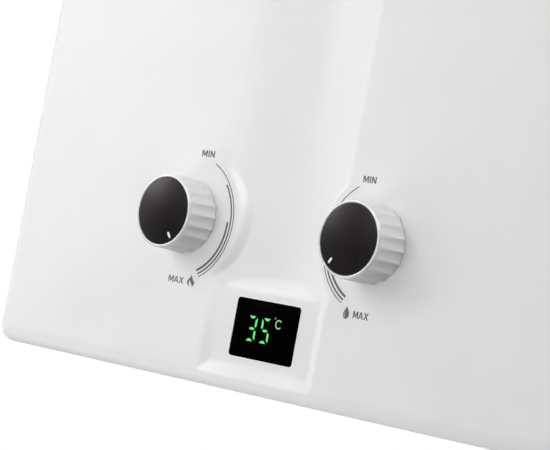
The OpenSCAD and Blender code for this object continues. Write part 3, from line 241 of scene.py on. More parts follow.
# Print on the panel
INK_T = 0.05
INK_SUNK = 0.05
PRINT_OUT = 1.1
PRINT_DROP = 1.0
SCALE_ARCS = ((27.4, 0.42, -62.0), (26.0, 0.75, -62.0), (24.3, 1.0, -62.6))
GAS_ARC_TOPS = (65.7, 40.1, 2.3)
WATER_ARC_TOPS = (58.3, 40.1, 2.3)
ARC_STEP = 1.5
ARC_STEPS_LEAST = 8

# Meshes
WELD = 0.002
SLIVER = 0.0005
SHARP = 35.0
PIECE_SHARP = 50.0
CORNER_STEPS = 8
RING_POINTS = 24


# Mesh helpers
def make_piece(name, verts, faces, body, slot, sharp=SHARP):
    """New mesh object from points in millimetres."""
    mesh = bpy.data.meshes.new(name)
    mesh.from_pydata([tuple(c * MM for c in v) for v in verts], [], faces)
    obj = bpy.data.objects.new(name, mesh)
    bpy.context.scene.collection.objects.link(obj)
    clean_mesh(mesh)
    dress(obj, slot)
    shade(mesh, sharp)
    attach(obj, body)
    return obj


def clean_mesh(mesh):
    """Joins doubled points and turns all faces outwards."""
    bm = bmesh.new()
    bm.from_mesh(mesh)
    bmesh.ops.remove_doubles(bm, verts=bm.verts, dist=WELD * MM)
    bmesh.ops.dissolve_degenerate(bm, edges=bm.edges, dist=SLIVER * MM)
    bmesh.ops.recalc_face_normals(bm, faces=bm.faces)
    bm.to_mesh(mesh)
    bm.free()
    mesh.update()


def shade(mesh, sharp):
    """Smooth shading that breaks at edges sharper than the angle in degrees."""
    mesh.shade_smooth()
    mesh.set_sharp_from_angle(angle=math.radians(sharp))


def dress(obj, slot):
    """Gives a piece its material."""
    obj.data.materials.clear()
    obj.data.materials.append(MATERIALS[slot])


def bake_modifiers(obj, sharp):
    """Puts the result of the modifiers in the mesh."""
    bpy.context.view_layer.update()
    solid = obj.evaluated_get(bpy.context.evaluated_depsgraph_get())
    mesh = bpy.data.meshes.new_from_object(solid)
    obj.modifiers.clear()
    obj.data = mesh
    shade(mesh, sharp)


def rings_of(verts, count):
    """Point numbers of equal rings that follow each other."""
    size = len(verts) // count
    return [list(range(i * size, (i + 1) * size)) for i in range(count)]


def bridge(low, high):
    """Faces between two rings of point numbers; a ring may be one point over and over."""
    faces = []
    for i in range(len(low)):
        j = (i + 1) % len(low)
        face = list(dict.fromkeys((low[i], low[j], high[j], high[i])))
        if len(face) > 2:
            faces.append(face)
    return faces


def turned(rows, count, place, radius=None):
    """Solid from rows that start with radius and height; place turns x, y and height into a point."""
    verts = []
    faces = []
    rings = []
    for row in rows:
        if row[0] == 0:
            verts.append(place(0.0, 0.0, row[1]))
            rings.append([len(verts) - 1] * count)
            continue
        ring = []
        for i in range(count):
            angle = FULL * i / count
            r = radius(row, angle) if radius else row[0]
            verts.append(place(r * math.cos(angle), r * math.sin(angle), row[1]))
            ring.append(len(verts) - 1)
        rings.append(ring)
    for low, high in zip(rings, rings[1:]):
        faces += bridge(low, high)
    return verts, faces


def prism(outline, front, back):
    """Closed solid between two copies of an outline of (x, z) points at the two depths."""
    count = len(outline)
    verts = [(x, front, z) for x, z in outline] + [(x, back, z) for x, z in outline]
    faces = [list(range(count)), list(range(2 * count - 1, count - 1, -1))]
    for i in range(count):
        j = (i + 1) % count
        faces.append((i, i + count, j + count, j))
    return verts, faces


def joined(solids):
    """One list of points and faces from several."""
    verts = []
    faces = []
    for part_verts, part_faces in solids:
        start = len(verts)
        verts += part_verts
        faces += [[start + i for i in face] for face in part_faces]
    return verts, faces


def quarter(cx, cy, r, start, end, steps):
    """Points of an arc, angles in degrees."""
    points = []
    for i in range(steps + 1):
        angle = math.radians(start + (end - start) * i / steps)
        points.append((cx + r * math.cos(angle), cy + r * math.sin(angle)))
    return points


def ring_points(cx, cy, r):
    """Points of a whole circle."""
    return quarter(cx, cy, r, 0, 360 - 360 / RING_POINTS, RING_POINTS - 1)


def rounded_rect(w, h, r):
    """Outline of a rectangle with round corners, centred on nought."""
    points = []
    corners = ((1, 1, 0), (-1, 1, 90), (-1, -1, 180), (1, -1, 270))
    for sx, sz, start in corners:
        points += quarter(sx * (w / 2 - r), sz * (h / 2 - r), r, start, start + 90, CORNER_STEPS)
    return points


def smooth_outline(points, steps):
    """Closed curve through the points."""
    count = len(points)
    out = []
    for i in range(count):
        p0, p1, p2, p3 = (np.array(points[(i + k - 1) % count], float) for k in range(4))
        for step in range(steps):
            t = step / steps
            out.append(tuple(0.5 * (
                2 * p1 + (p2 - p0) * t + (2 * p0 - 5 * p1 + 4 * p2 - p3) * t ** 2
                + (3 * p1 - p0 - 3 * p2 + p3) * t ** 3
            )))
    return out


# Materials
NOISE_DETAIL = 3.0
NOISE_ROUGH = 0.55
NOISE_LOW = 0.25
NOISE_HIGH = 0.75
LIT_GRAIN = 900.0
LIT_DIM = 0.9
LIT_BASE = 0.01
LIT_SHINE = 0.1
LIT_ROUGH = 0.4


def grey(value):
    return (value, value, value)


def start_material(name):
    mat = bpy.data.materials.new(name)
    mat.use_nodes = True
    tree = mat.node_tree
    return mat, tree, tree.nodes["Principled BSDF"]


def add(tree, kind, **values):
    """New node; a value goes to the socket of that name, with _ for a space."""
    made = tree.nodes.new(kind)
    for key, value in values.items():
        made.inputs[key.replace("_", " ")].default_value = value
    return made


def object_space(tree, stretch=(1, 1, 1)):
    """Coordinates of the piece itself, so that a pattern moves with it."""
    coords = tree.nodes.new("ShaderNodeTexCoord")
    mapping = add(tree, "ShaderNodeMapping", Scale=stretch)
    tree.links.new(coords.outputs["Object"], mapping.inputs["Vector"])
    return mapping.outputs["Vector"]


def noise(tree, space, scale):
    made = add(tree, "ShaderNodeTexNoise", Scale=scale, Detail=NOISE_DETAIL, Roughness=NOISE_ROUGH)
    tree.links.new(space, made.inputs["Vector"])
    return made.outputs["Fac"]


def cells(tree, space, scale):
    """One random value for each crystal or copper field."""
    made = add(tree, "ShaderNodeTexVoronoi", Scale=scale)
    tree.links.new(space, made.inputs["Vector"])
    split = tree.nodes.new("ShaderNodeSeparateColor")
    tree.links.new(made.outputs["Color"], split.inputs["Color"])
    return split.outputs["Red"]


def ramp(tree, value, stops):
    """Colour by value, from stops of (place, colour)."""
    made = tree.nodes.new("ShaderNodeValToRGB")
    row = made.color_ramp.elements
    while len(row) < len(stops):
        row.new(0.5)
    for element, (place, colour) in zip(row, stops):
        element.position = place
        element.color = (*colour, 1.0)
    tree.links.new(value, made.inputs["Fac"])
    return made.outputs["Color"]


def spread(tree, value, low, high):
    """The pattern's usual range of values brought to low and high."""
    made = add(
        tree, "ShaderNodeMapRange", From_Min=NOISE_LOW, From_Max=NOISE_HIGH, To_Min=low, To_Max=high,
    )
    tree.links.new(value, made.inputs["Value"])
    return made.outputs["Result"]


def bump(tree, bsdf, value, strength, depth):
    made = add(tree, "ShaderNodeBump", Strength=strength, Distance=depth * MM)
    tree.links.new(value, made.inputs["Height"])
    tree.links.new(made.outputs["Normal"], bsdf.inputs["Normal"])


def finish_material(
    name, stops, rough, metal=0.0, level=0.5, pattern=noise, scale=60.0, stretch=(1, 1, 1),
    grain=900.0, grain_stretch=(1, 1, 1), lift=0.2, depth=0.05, tint=(1, 1, 1),
):
    """Colour and roughness from a broad pattern, relief from a fine grain."""
    mat, tree, bsdf = start_material(name)
    bsdf.inputs["Metallic"].default_value = metal
    bsdf.inputs["Specular IOR Level"].default_value = level
    bsdf.inputs["Specular Tint"].default_value = (*tint, 1.0)
    value = pattern(tree, object_space(tree, stretch), scale)
    tree.links.new(ramp(tree, value, stops), bsdf.inputs["Base Color"])
    tree.links.new(spread(tree, value, *rough), bsdf.inputs["Roughness"])
    fine = noise(tree, object_space(tree, grain_stretch), grain)
    bump(tree, bsdf, fine, lift, depth)
    return mat


def lit_material(name, colour, strength):
    """Glowing segment behind dark glass, a little uneven."""
    mat, tree, bsdf = start_material(name)
    bsdf.inputs["Base Color"].default_value = (*grey(LIT_BASE), 1.0)
    bsdf.inputs["Specular IOR Level"].default_value = LIT_SHINE
    bsdf.inputs["Roughness"].default_value = LIT_ROUGH
    bsdf.inputs["Emission Strength"].default_value = strength
    value = noise(tree, object_space(tree), LIT_GRAIN)
    dim = tuple(LIT_DIM * c for c in colour)
    tone = ramp(tree, value, ((0.3, dim), (0.7, colour)))
    tree.links.new(tone, bsdf.inputs["Emission Color"])
    return mat


MATERIALS = {
    "white_paint": finish_material(
        "white_paint", ((0.3, (0.81, 0.81, 0.808)), (0.7, (0.825, 0.825, 0.822))), (0.36, 0.41),
        scale=40.0, grain=650.0, lift=0.05, depth=0.05,
    ),
    "galvanised_steel": finish_material(
        "galvanised_steel", ((0.1, (0.49, 0.505, 0.515)), (0.9, (0.57, 0.585, 0.595))), (0.40, 0.46),
        metal=0.9, pattern=cells, scale=120.0, grain=700.0, lift=0.12, depth=0.06,
    ),
    "steel": finish_material(
        "steel", ((0.3, (0.52, 0.53, 0.55)), (0.7, (0.66, 0.67, 0.69))), (0.24, 0.36), metal=1.0,
        scale=200.0, stretch=(1, 1, 0.1), grain=1500.0, grain_stretch=(1, 1, 0.08), lift=0.15, depth=0.03,
    ),
    "burner_steel": finish_material(
        "burner_steel",
        ((0.25, (0.30, 0.27, 0.24)), (0.5, (0.42, 0.40, 0.38)), (0.75, (0.27, 0.30, 0.37))), (0.4, 0.58),
        metal=0.9, scale=45.0, grain=900.0, lift=0.2, depth=0.05,
    ),
    "lens_black": finish_material(
        "lens_black", ((0.3, grey(0.0006)), (0.7, grey(0.001))), (0.2, 0.24),
        scale=120.0, grain=400.0, lift=0.01, depth=0.02, level=0.002,
    ),
    "black_plastic": finish_material(
        "black_plastic", ((0.3, (0.020, 0.021, 0.022)), (0.7, (0.032, 0.033, 0.035))), (0.45, 0.6),
        scale=150.0, grain=2200.0, lift=0.35, depth=0.05,
    ),
    "board_green": finish_material(
        "board_green", ((0.35, (0.012, 0.09, 0.035)), (0.65, (0.02, 0.15, 0.06))), (0.3, 0.45),
        pattern=cells, scale=420.0, grain=1500.0, lift=0.2, depth=0.04,
    ),
    "knob_silver": finish_material(
        "knob_silver", ((0.3, grey(0.62)), (0.7, grey(0.65))), (0.38, 0.42), metal=0.35,
        scale=60.0, grain=2600.0, lift=0.02, depth=0.01,
    ),
    # Nearly white colour of the knobs' polished rings: partly their own colour, partly a painted highlight
    "ring_painted_highlight": finish_material(
        "ring_painted_highlight", ((0.3, grey(0.78)), (0.7, grey(0.82))), (0.22, 0.27), metal=0.35,
        scale=80.0, grain=2600.0, lift=0.02, depth=0.01,
    ),
    # Near-white ring round the display window: a painted highlight of the window's edge
    "window_highlight_paint": finish_material(
        "window_highlight_paint", ((0.3, grey(0.93)), (0.7, grey(0.95))), (0.25, 0.3),
        scale=80.0, grain=2600.0, lift=0.02, depth=0.01,
    ),
    "knob_black": finish_material(
        "knob_black", ((0.3, (0.0055, 0.0045, 0.005)), (0.7, (0.0075, 0.006, 0.0065))), (0.27, 0.30),
        scale=60.0, grain=2600.0, lift=0.01, depth=0.01, level=0.34, tint=(1.0, 0.86, 0.91),
    ),
    "pointer_white": finish_material(
        "pointer_white", ((0.3, grey(0.80)), (0.7, grey(0.88))), (0.4, 0.5),
        scale=900.0, grain=3000.0, lift=0.1,
    ),
    "brass": finish_material(
        "brass", ((0.25, (0.52, 0.33, 0.11)), (0.75, (0.76, 0.55, 0.23))), (0.24, 0.42), metal=1.0,
        scale=110.0, grain=1600.0, lift=0.1, depth=0.04,
    ),
    "cast_aluminium": finish_material(
        "cast_aluminium", ((0.3, (0.48, 0.49, 0.50)), (0.7, (0.62, 0.63, 0.64))), (0.42, 0.58),
        metal=0.95, scale=180.0, grain=1100.0, lift=0.5, depth=0.12,
    ),
    "copper": finish_material(
        "copper", ((0.25, (0.46, 0.19, 0.11)), (0.55, (0.78, 0.38, 0.24)), (0.8, (0.62, 0.27, 0.20))),
        (0.22, 0.42), metal=1.0, scale=42.0, grain=1000.0, lift=0.08, depth=0.04,
    ),
    "rubber": finish_material(
        "rubber", ((0.3, grey(0.014)), (0.7, grey(0.024))), (0.65, 0.8),
        scale=200.0, grain=1800.0, lift=0.3,
    ),
    "ceramic": finish_material(
        "ceramic", ((0.3, (0.74, 0.72, 0.67)), (0.7, (0.84, 0.82, 0.77))), (0.12, 0.22), scale=160.0,
        grain=900.0, lift=0.05,
    ),
    "pale_plastic": finish_material(
        "pale_plastic", ((0.3, (0.66, 0.66, 0.63)), (0.7, (0.74, 0.74, 0.71))), (0.4, 0.52), scale=120.0,
        grain=2000.0, lift=0.3, depth=0.05,
    ),
    "switch_red": finish_material(
        "switch_red", ((0.3, (0.42, 0.02, 0.015)), (0.7, (0.55, 0.03, 0.02))), (0.35, 0.45), scale=300.0,
        grain=2000.0, lift=0.2,
    ),
    "dial_ink": finish_material(
        "dial_ink", ((0.3, grey(0.105)), (0.7, grey(0.125))), (0.5, 0.6),
        scale=1500.0, grain=3000.0, lift=0.1,
    ),
    "dial_ink_pale": finish_material(
        "dial_ink_pale", ((0.3, grey(0.30)), (0.7, grey(0.34))), (0.5, 0.6),
        scale=1500.0, grain=3000.0, lift=0.1,
    ),
    "digit_green": lit_material("digit_green", (0.14, 1.0, 0.21), 0.95),
    "letter_green": lit_material("letter_green", (0.28, 0.78, 0.30), 0.9),
    "digit_grey": lit_material("digit_grey", (0.24, 0.27, 0.24), 0.7),
}


# Cover
def soft_max(a, b, k):
    """The larger of two values, rounded where they lie within k of each other."""
    overlap = np.clip(1 - np.abs(a - b) / k, 0, None)
    return np.maximum(a, b) + overlap ** 2 * k / 4


def soft_min(a, b, k):
    return -soft_max(-a, -b, k)


def pressed(x, z):
    """Depth of the pressed forms below the flat panel, with crisp edges."""
    across = np.clip(np.abs(x), 0, TROUGH_REACH)
    arc = np.sqrt(TROUGH_R ** 2 - across ** 2) - (TROUGH_R - TROUGH_DEPTH)
    trough = soft_max(arc, np.zeros_like(x), TROUGH_EDGE)
    slope_foot = DISPLAY_Z + PLATFORM_H / 2 - PLATFORM_DEPTH
    trough = soft_min(trough, np.clip(z - slope_foot, 0, None), SLOPE_EDGE)
    inset = np.minimum(
        PLATFORM_W / 2 + PLATFORM_BEVEL - np.abs(x),
        PLATFORM_H / 2 + PLATFORM_BEVEL - np.abs(z - DISPLAY_Z),
    )
    platform = np.clip(PLATFORM_DEPTH * inset / PLATFORM_BEVEL, 0, PLATFORM_DEPTH)
    depth = np.maximum(trough, platform)
    for side in (-1, 1):
        away = np.hypot(x - side * KNOB_X, z - KNOB_Z) - BOSS_R
        depth = np.minimum(depth, np.clip(away * TROUGH_DEPTH / BOSS_FLARE, 0, None))
    return depth


def soft_pressed(x, z):
    """Depth averaged over a small disc, wider at the platform, as drawn sheet metal bends."""
    share_low = np.clip((PRESS_TOP - z) / (PRESS_TOP - PRESS_LOW), 0, 1)
    reach = PRESS_R + (PLATFORM_PRESS_R - PRESS_R) * share_low
    total = DISC_CENTRE * pressed(x, z)
    weight = DISC_CENTRE
    for share, count in DISC_RINGS:
        for i in range(count):
            angle = FULL * (i + 0.5) / count
            total = total + pressed(
                x + share * reach * math.cos(angle), z + share * reach * math.sin(angle)
            )
            weight += 1.0
    return total / weight


def cover_point(p):
    """Points of the sharp box moved to the rounded and pressed cover."""
    core = p.copy()
    core[:, 0] = np.clip(p[:, 0], EDGE_R - CASE_X, CASE_X - EDGE_R)
    core[:, 1] = np.maximum(p[:, 1], PANEL_Y + EDGE_R)
    core[:, 2] = np.clip(p[:, 2], CASE_BOTTOM + EDGE_R, CASE_TOP - EDGE_R)
    away = p - core
    out = core + EDGE_R * away / np.linalg.norm(away, axis=1)[:, None]
    fade = np.clip(1 - (p[:, 1] - PANEL_Y - EDGE_R) / TROUGH_FADE, 0, 1)
    out[:, 1] += soft_pressed(p[:, 0], p[:, 2]) * fade * fade * (3 - 2 * fade)
    return out


def roll_lines(edge):
    """Grid lines over half of a rounded edge, from the flat to the edge."""
    sign = math.copysign(1.0, edge)
    steps = [math.tan(math.pi / 4 * i / ROLL_STEPS) for i in range(ROLL_STEPS + 1)]
    return [edge - sign * EDGE_R * (1 - t) for t in steps]


def stepped(low, high, step):
    """Even grid lines about a step apart."""
    return list(np.linspace(low, high, max(2, int(round((high - low) / step)) + 1)))


def lines(*groups):
    """Sorted grid lines without doubles."""
    merged = np.sort(np.concatenate([np.asarray(g, float) for g in groups]))
    keep = np.concatenate([[True], np.diff(merged) > LINE_LEAST])
    return merged[keep]


def cover_shell():
    """The cover as one sheet: five grids of a box, rounded and pressed, with its holes patched in."""
    half_lines = lines(
        stepped(0, FINE_X, FINE_STEP), stepped(FINE_X, KNOB_X - HOLE_HALF, HOLE_STEP),
        stepped(KNOB_X - HOLE_HALF, KNOB_X + HOLE_HALF, HOLE_STEP),
        stepped(KNOB_X + HOLE_HALF, CASE_X - SIDE_LIP, SIDE_STEP),
        stepped(CASE_X - SIDE_LIP, CASE_X - EDGE_R, SIDE_LIP_STEP), roll_lines(CASE_X),
    )
    xs = lines(-half_lines[1:], half_lines)
    fine_low = DISPLAY_Z - FINE_STEP * int((DISPLAY_Z - CASE_BOTTOM - EDGE_R) / FINE_STEP)
    fine = np.arange(fine_low, FINE_TOP, FINE_STEP)
    upper = stepped(fine[-1], CASE_TOP - EDGE_R, UPPER_STEP)
    zs = lines(roll_lines(CASE_BOTTOM), fine, upper, roll_lines(CASE_TOP))
    bottom_edge = PANEL_Y + BOTTOM_LIP
    top_edge = PANEL_Y + TOP_LIP
    ys = lines(
        roll_lines(PANEL_Y), stepped(PANEL_Y + EDGE_R, bottom_edge, BOTTOM_LIP_STEP),
        stepped(bottom_edge, top_edge, TOP_LIP_STEP), stepped(top_edge, COVER_REAR, DEPTH_STEP),
    )

    verts = []
    faces = []

    def grid(us, vs, place, skip):
        """Adds one side of the box and says where its points start."""
        start = len(verts)
        u, v = np.meshgrid(us, vs, indexing="ij")
        flat = np.stack(place(u.ravel(), v.ravel()), axis=1)
        verts.extend(map(tuple, cover_point(flat)))
        wide = len(vs)
        for i in range(len(us) - 1):
            for j in range(wide - 1):
                if not skip(us[i], us[i + 1], vs[j], vs[j + 1]):
                    a = start + i * wide + j
                    faces.append((a, a + 1, a + wide + 1, a + wide))
        return start

    def nearest(values, want):
        return int(np.argmin(np.abs(values - want)))

    holes = []
    window = (WINDOW_W / 2 + WINDOW_CELLS_X * FINE_STEP, WINDOW_H / 2 + WINDOW_CELLS_Z * FINE_STEP)
    spindle = (HOLE_HALF, HOLE_HALF)
    for cx, cz, half in ((0.0, DISPLAY_Z, window), (-KNOB_X, KNOB_Z, spindle), (KNOB_X, KNOB_Z, spindle)):
        holes.append((
            cx, cz, nearest(xs, cx - half[0]), nearest(xs, cx + half[0]), nearest(zs, cz - half[1]),
            nearest(zs, cz + half[1]),
        ))

    def in_hole(x0, x1, z0, z1):
        mid_x = (x0 + x1) / 2
        mid_z = (z0 + z1) / 2
        return any(xs[a] < mid_x < xs[b] and zs[c] < mid_z < zs[d] for _, _, a, b, c, d in holes)

    def full(*_):
        return False

    def end_opening(edge):
        """Rule that leaves the bottom or top open behind its lip."""
        def skip(x0, x1, y0, y1):
            inside = abs(x0 + x1) / 2 < CASE_X - SIDE_LIP
            return inside and (y0 + y1) / 2 > edge
        return skip

    front = grid(xs, zs, lambda u, v: (u, np.full_like(u, PANEL_Y), v), in_hole)
    grid(ys, zs, lambda u, v: (np.full_like(u, -CASE_X), u, v), full)
    grid(ys, zs, lambda u, v: (np.full_like(u, CASE_X), u, v), full)
    grid(xs, ys, lambda u, v: (u, v, np.full_like(u, CASE_BOTTOM)), end_opening(bottom_edge))
    grid(xs, ys, lambda u, v: (u, v, np.full_like(u, CASE_TOP)), end_opening(top_edge))

    def ring_patch(hole, outline):
        """Fills between the grid's square gap and the hole's own outline."""
        cx, cz, a, b, c, d = hole
        walk = [(i, c) for i in range(a, b)] + [(b, j) for j in range(c, d)]
        walk += [(i, d) for i in range(b, a, -1)] + [(a, j) for j in range(d, c, -1)]
        outer = [front + i * len(zs) + j for i, j in walk]
        edge = np.array([(xs[i], zs[j]) for i, j in walk])
        inner = outline(edge - (cx, cz)) + (cx, cz)
        last = outer
        for share in PATCH_SHARES:
            ring = edge + (inner - edge) * share
            flat = np.stack([ring[:, 0], np.full(len(ring), PANEL_Y), ring[:, 1]], axis=1)
            start = len(verts)
            verts.extend(map(tuple, cover_point(flat)))
            ids = list(range(start, start + len(ring)))
            faces.extend(bridge(last, ids))
            last = ids

    def window_outline(p):
        core = np.clip(
            p, (WINDOW_CORNER - WINDOW_W / 2, WINDOW_CORNER - WINDOW_H / 2),
            (WINDOW_W / 2 - WINDOW_CORNER, WINDOW_H / 2 - WINDOW_CORNER),
        )
        away = p - core
        return core + WINDOW_CORNER * away / np.linalg.norm(away, axis=1)[:, None]

    def round_outline(p):
        return SPINDLE_HOLE_R * p / np.linalg.norm(p, axis=1)[:, None]

    ring_patch(holes[0], window_outline)
    ring_patch(holes[1], round_outline)
    ring_patch(holes[2], round_outline)

    obj = make_piece("cover_shell", verts, faces, "casing", "white_paint")
    if obj.data.polygons[0].normal.y > 0:
        obj.data.flip_normals()
    thick = obj.modifiers.new("sheet", "SOLIDIFY")
    thick.thickness = SHEET * MM
    thick.offset = -1
    thick.use_even_offset = True
    edges = obj.modifiers.new("edges", "BEVEL")
    edges.width = RIM_BEVEL * MM
    edges.segments = RIM_SEGMENTS
    edges.limit_method = "ANGLE"
    edges.angle_limit = math.radians(RIM_ANGLE)
    bake_modifiers(obj, COVER_SHARP)
    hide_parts("front_cover")


cover_shell()


# Knobs
def knob_place(side, turn=0.0):
    """Turns knob sizes into points: height stands out of the panel."""
    cos_turn = math.cos(math.radians(turn))
    sin_turn = math.sin(math.radians(turn))

    def place(x, y, h):
        across = side * KNOB_X + x * cos_turn - y * sin_turn
        return (across, KNOB_FOOT_Y - h, KNOB_Z + x * sin_turn + y * cos_turn)
    return place


def fluted(row, angle):
    """Radius of the knob's side with its flutes; a row's weight fades them out."""
    r, h, weight = row
    if weight <= 0:
        return r
    step = FULL / FLUTES
    turn = (angle / step) % 1.0 - 0.5
    centre = KNOB_BASE_R - FLUTE_DEPTH + FLUTE_R - FLUTE_LEAN * h
    aside = centre * math.sin(turn * step)
    reach = centre * math.cos(turn * step) - math.sqrt(FLUTE_R ** 2 - aside ** 2)
    cut = float(soft_min(np.array(r), np.array(reach), FLUTE_SOFT))
    return r + (cut - r) * weight


def knob_body(name, side, body, node, flute_turn):
    """Fluted shell, hollow behind, with a hub for the spindle and a seat for the cap."""
    inner_r = KNOB_RIM_R - KNOB_WALL
    pocket = HUB_FLOOR - POCKET_EDGE
    hollow = [
        (0.0, HUB_FLOOR), (BORE_R, HUB_FLOOR), (BORE_R, BORE_EDGE), (BORE_R + BORE_EDGE, 0.0),
        (HUB_R - HUB_EDGE, 0.0), (HUB_R, HUB_EDGE), (HUB_R, pocket), (HUB_R + POCKET_EDGE, HUB_FLOOR),
        (inner_r - POCKET_EDGE, HUB_FLOOR), (inner_r, pocket), (inner_r, HUB_EDGE),
        (inner_r + HUB_EDGE, 0.0),
    ]
    rows = [(r, h, 0.0) for r, h in hollow]
    foot = quarter(KNOB_BASE_R - KNOB_EDGE, KNOB_EDGE, KNOB_EDGE, -90, 0, KNOB_EDGE_STEPS)
    rows += [(r, h, 1.0) for r, h in foot]
    top = KNOB_H - RIM_EDGE
    for i in range(1, SIDE_ROWS + 1):
        share = i / SIDE_ROWS
        h = KNOB_EDGE + (top - KNOB_EDGE) * share
        fade = min(1.0, max(0.0, (top - h) / FLUTE_RUNOUT))
        rows.append((KNOB_BASE_R + (KNOB_RIM_R - KNOB_BASE_R) * share, h, math.sqrt(fade * (2 - fade))))
    rim = quarter(KNOB_RIM_R - RIM_EDGE, top, RIM_EDGE, 0, 90, RIM_EDGE_STEPS)
    rows += [(r, h, 0.0) for r, h in rim[1:]]
    seat_r = CAP_R + SEAT_FIT
    lip = quarter(seat_r + SEAT_EDGE, KNOB_H - SEAT_EDGE, SEAT_EDGE, 90, 180, SEAT_EDGE_STEPS)
    rows += [(r, h, 0.0) for r, h in lip]
    seat = KNOB_H - SEAT_DROP
    rows += [(seat_r, seat, 0.0), (0.0, seat, 0.0)]
    verts, faces = turned(rows, FLUTES * FLUTE_POINTS, knob_place(side, flute_turn), fluted)
    obj = make_piece(name, verts, faces, body, "knob_silver", KNOB_SHARP)
    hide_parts(node)


def knob_ring(name, side, body):
    """Polished ring on the rim, round the cap; its near-white colour is partly its own and partly a
    painted highlight.
    """
    mid = (RING_IN + RING_OUT) / 2
    half = (RING_OUT - RING_IN) / 2
    sunk = KNOB_H - RING_SUNK
    rows = [(RING_IN, sunk)]
    for x, h in quarter(0, 0, 1.0, 180, 0, RING_STEPS):
        rows.append((mid + half * x, KNOB_H - RING_TUCK + (RING_LIFT + RING_TUCK) * h))
    rows += [(RING_OUT, sunk), (RING_IN, sunk)]
    verts, faces = turned(rows, ROUND_POINTS, knob_place(side))
    obj = make_piece(name, verts, faces, body, "ring_painted_highlight", RING_SHARP)


def dome(r):
    """Height of the cap's face above the knob's rim."""
    return CAP_DOME * (1 - (r / CAP_R) ** 2)


def knob_cap(name, side, body, node):
    """Domed black face in the knob's seat."""
    seat = KNOB_H - SEAT_DROP
    face_r = CAP_R - CAP_EDGE
    rows = [(0.0, seat), (CAP_R - CAP_FOOT, seat), (CAP_R, seat + CAP_FOOT)]
    shoulder = KNOB_H + dome(face_r) - CAP_EDGE
    rows += quarter(face_r, shoulder, CAP_EDGE, 0, CAP_EDGE_TURN, CAP_EDGE_STEPS)
    for i in range(1, CAP_ROWS + 1):
        r = face_r * (1 - i / CAP_ROWS)
        rows.append((r, KNOB_H + dome(r)))
    verts, faces = turned(rows, ROUND_POINTS, knob_place(side))
    obj = make_piece(name, verts, faces, body, "knob_black")
    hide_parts(node)


def knob_pointer(name, side, body, node, angle):
    """White tick let into the cap, its top a little smaller than its foot."""
    half = POINTER_W / 2
    outer = CAP_R - POINTER_IN
    inner = outer - POINTER_L
    outline = quarter(outer - half, 0, half, -90, 90, POINTER_STEPS)
    outline += quarter(inner + half, 0, half, 90, 270, POINTER_STEPS)
    turn = math.radians(angle)
    place = knob_place(side)
    verts = []
    faces = []
    mid = (outer + inner) / 2
    for shrink, lift in POINTER_LEVELS:
        for x, y in outline:
            px = mid + (x - mid) * (1 - (1 - shrink) * POINTER_W / POINTER_L)
            py = y * shrink
            qx = px * math.cos(turn) - py * math.sin(turn)
            qy = px * math.sin(turn) + py * math.cos(turn)
            verts.append(place(qx, qy, KNOB_H + dome(math.hypot(px, py)) + lift))
    rings = rings_of(verts, len(POINTER_LEVELS))
    for low, high in zip(rings, rings[1:]):
        faces += bridge(low, high)
    faces += [rings[0], rings[-1]]
    obj = make_piece(name, verts, faces, body, "pointer_white", PIECE_SHARP)
    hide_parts(node)


for kind, side, angle, flute_turn in (
    ("gas", -1, GAS_ANGLE, GAS_FLUTE_TURN), ("water", 1, WATER_ANGLE, WATER_FLUTE_TURN),
):
    rider = kind + "_knob"
    knob_body(kind + "_knob_shell", side, rider, kind + "_knob_body", flute_turn)
    knob_ring(kind + "_knob_ring", side, rider)
    knob_cap(kind + "_knob_face", side, rider, kind + "_knob_cap")
    knob_pointer(kind + "_knob_tick", side, rider, kind + "_knob_pointer", angle)


# Display
LENS_EDGE = 0.22
LENS_ROUND = 0.3
LENS_PLAY = 0.1
FLANGE_CORNER = 4.5
# Width and lift of the painted highlight ring round the window
HIGHLIGHT_RIM_W = 0.35
HIGHLIGHT_RIM_LIFT = 0.1
LIT_SUNK = 0.03

# Lit signs; places are beside the middle of the lens, at the digits' middle height
DIGIT_H = 10.65
DIGIT_W = 4.9
DIGIT_LIFT = 0.18
DIGIT_X = (-7.55, 0.05)
BAR_T = 1.05
BAR_HALF = 1.75
BAR_SHORT_HALF = 0.7
BAR_SHIFT_LEFT = -0.4
BAR_SHIFT_RIGHT = 0.3
MIDDLE_HALF = (1.4, 0.54)
SIDE_TOP = ((0.0, 0.7), (0.12, 0.68), (1.0, 1.7))
SIDE_FOOT = ((1.0, 0.95), (0.55, 0.68), (0.0, 1.15))
LETTER_MID = (7.04, 3.67)
LETTER_HALF = (1.64, 1.7)
LETTER_STROKE = 0.27
LETTER_OPEN = 42.0
LETTER_STEPS = 24
DOT_MID = (4.73, 5.97)
DOT_R = 0.48


def display_glass():
    """Black lens in the window, with a flange behind the panel."""
    w = WINDOW_W - LENS_PLAY
    h = WINDOW_H - LENS_PLAY
    shelf = PANEL_Y + PLATFORM_DEPTH + SHEET
    flange_w = LENS_HIGH[0] - LENS_LOW[0]
    flange_h = LENS_HIGH[2] - LENS_LOW[2]
    rows = []
    corner = LENS_ROUND * LENS_EDGE
    for inset, y in ((LENS_EDGE, LENS_FRONT), (corner, LENS_FRONT + corner)):
        rows.append((w - 2 * inset, h - 2 * inset, WINDOW_CORNER - inset, y))
    rows.append((w, h, WINDOW_CORNER, LENS_FRONT + LENS_EDGE))
    rows.append((w, h, WINDOW_CORNER, shelf))
    rows.append((flange_w, flange_h, FLANGE_CORNER, shelf))
    rows.append((flange_w, flange_h, FLANGE_CORNER, LENS_HIGH[1]))
    verts = []
    for rw, rh, rr, y in rows:
        verts += [(x, y, DISPLAY_Z + z) for x, z in rounded_rect(rw, rh, rr)]
    rings = rings_of(verts, len(rows))
    faces = [rings[0], rings[-1]]
    for low, high in zip(rings, rings[1:]):
        faces += bridge(low, high)
    obj = make_piece("display_glass", verts, faces, "casing", "lens_black", PIECE_SHARP)
    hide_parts("display_lens")


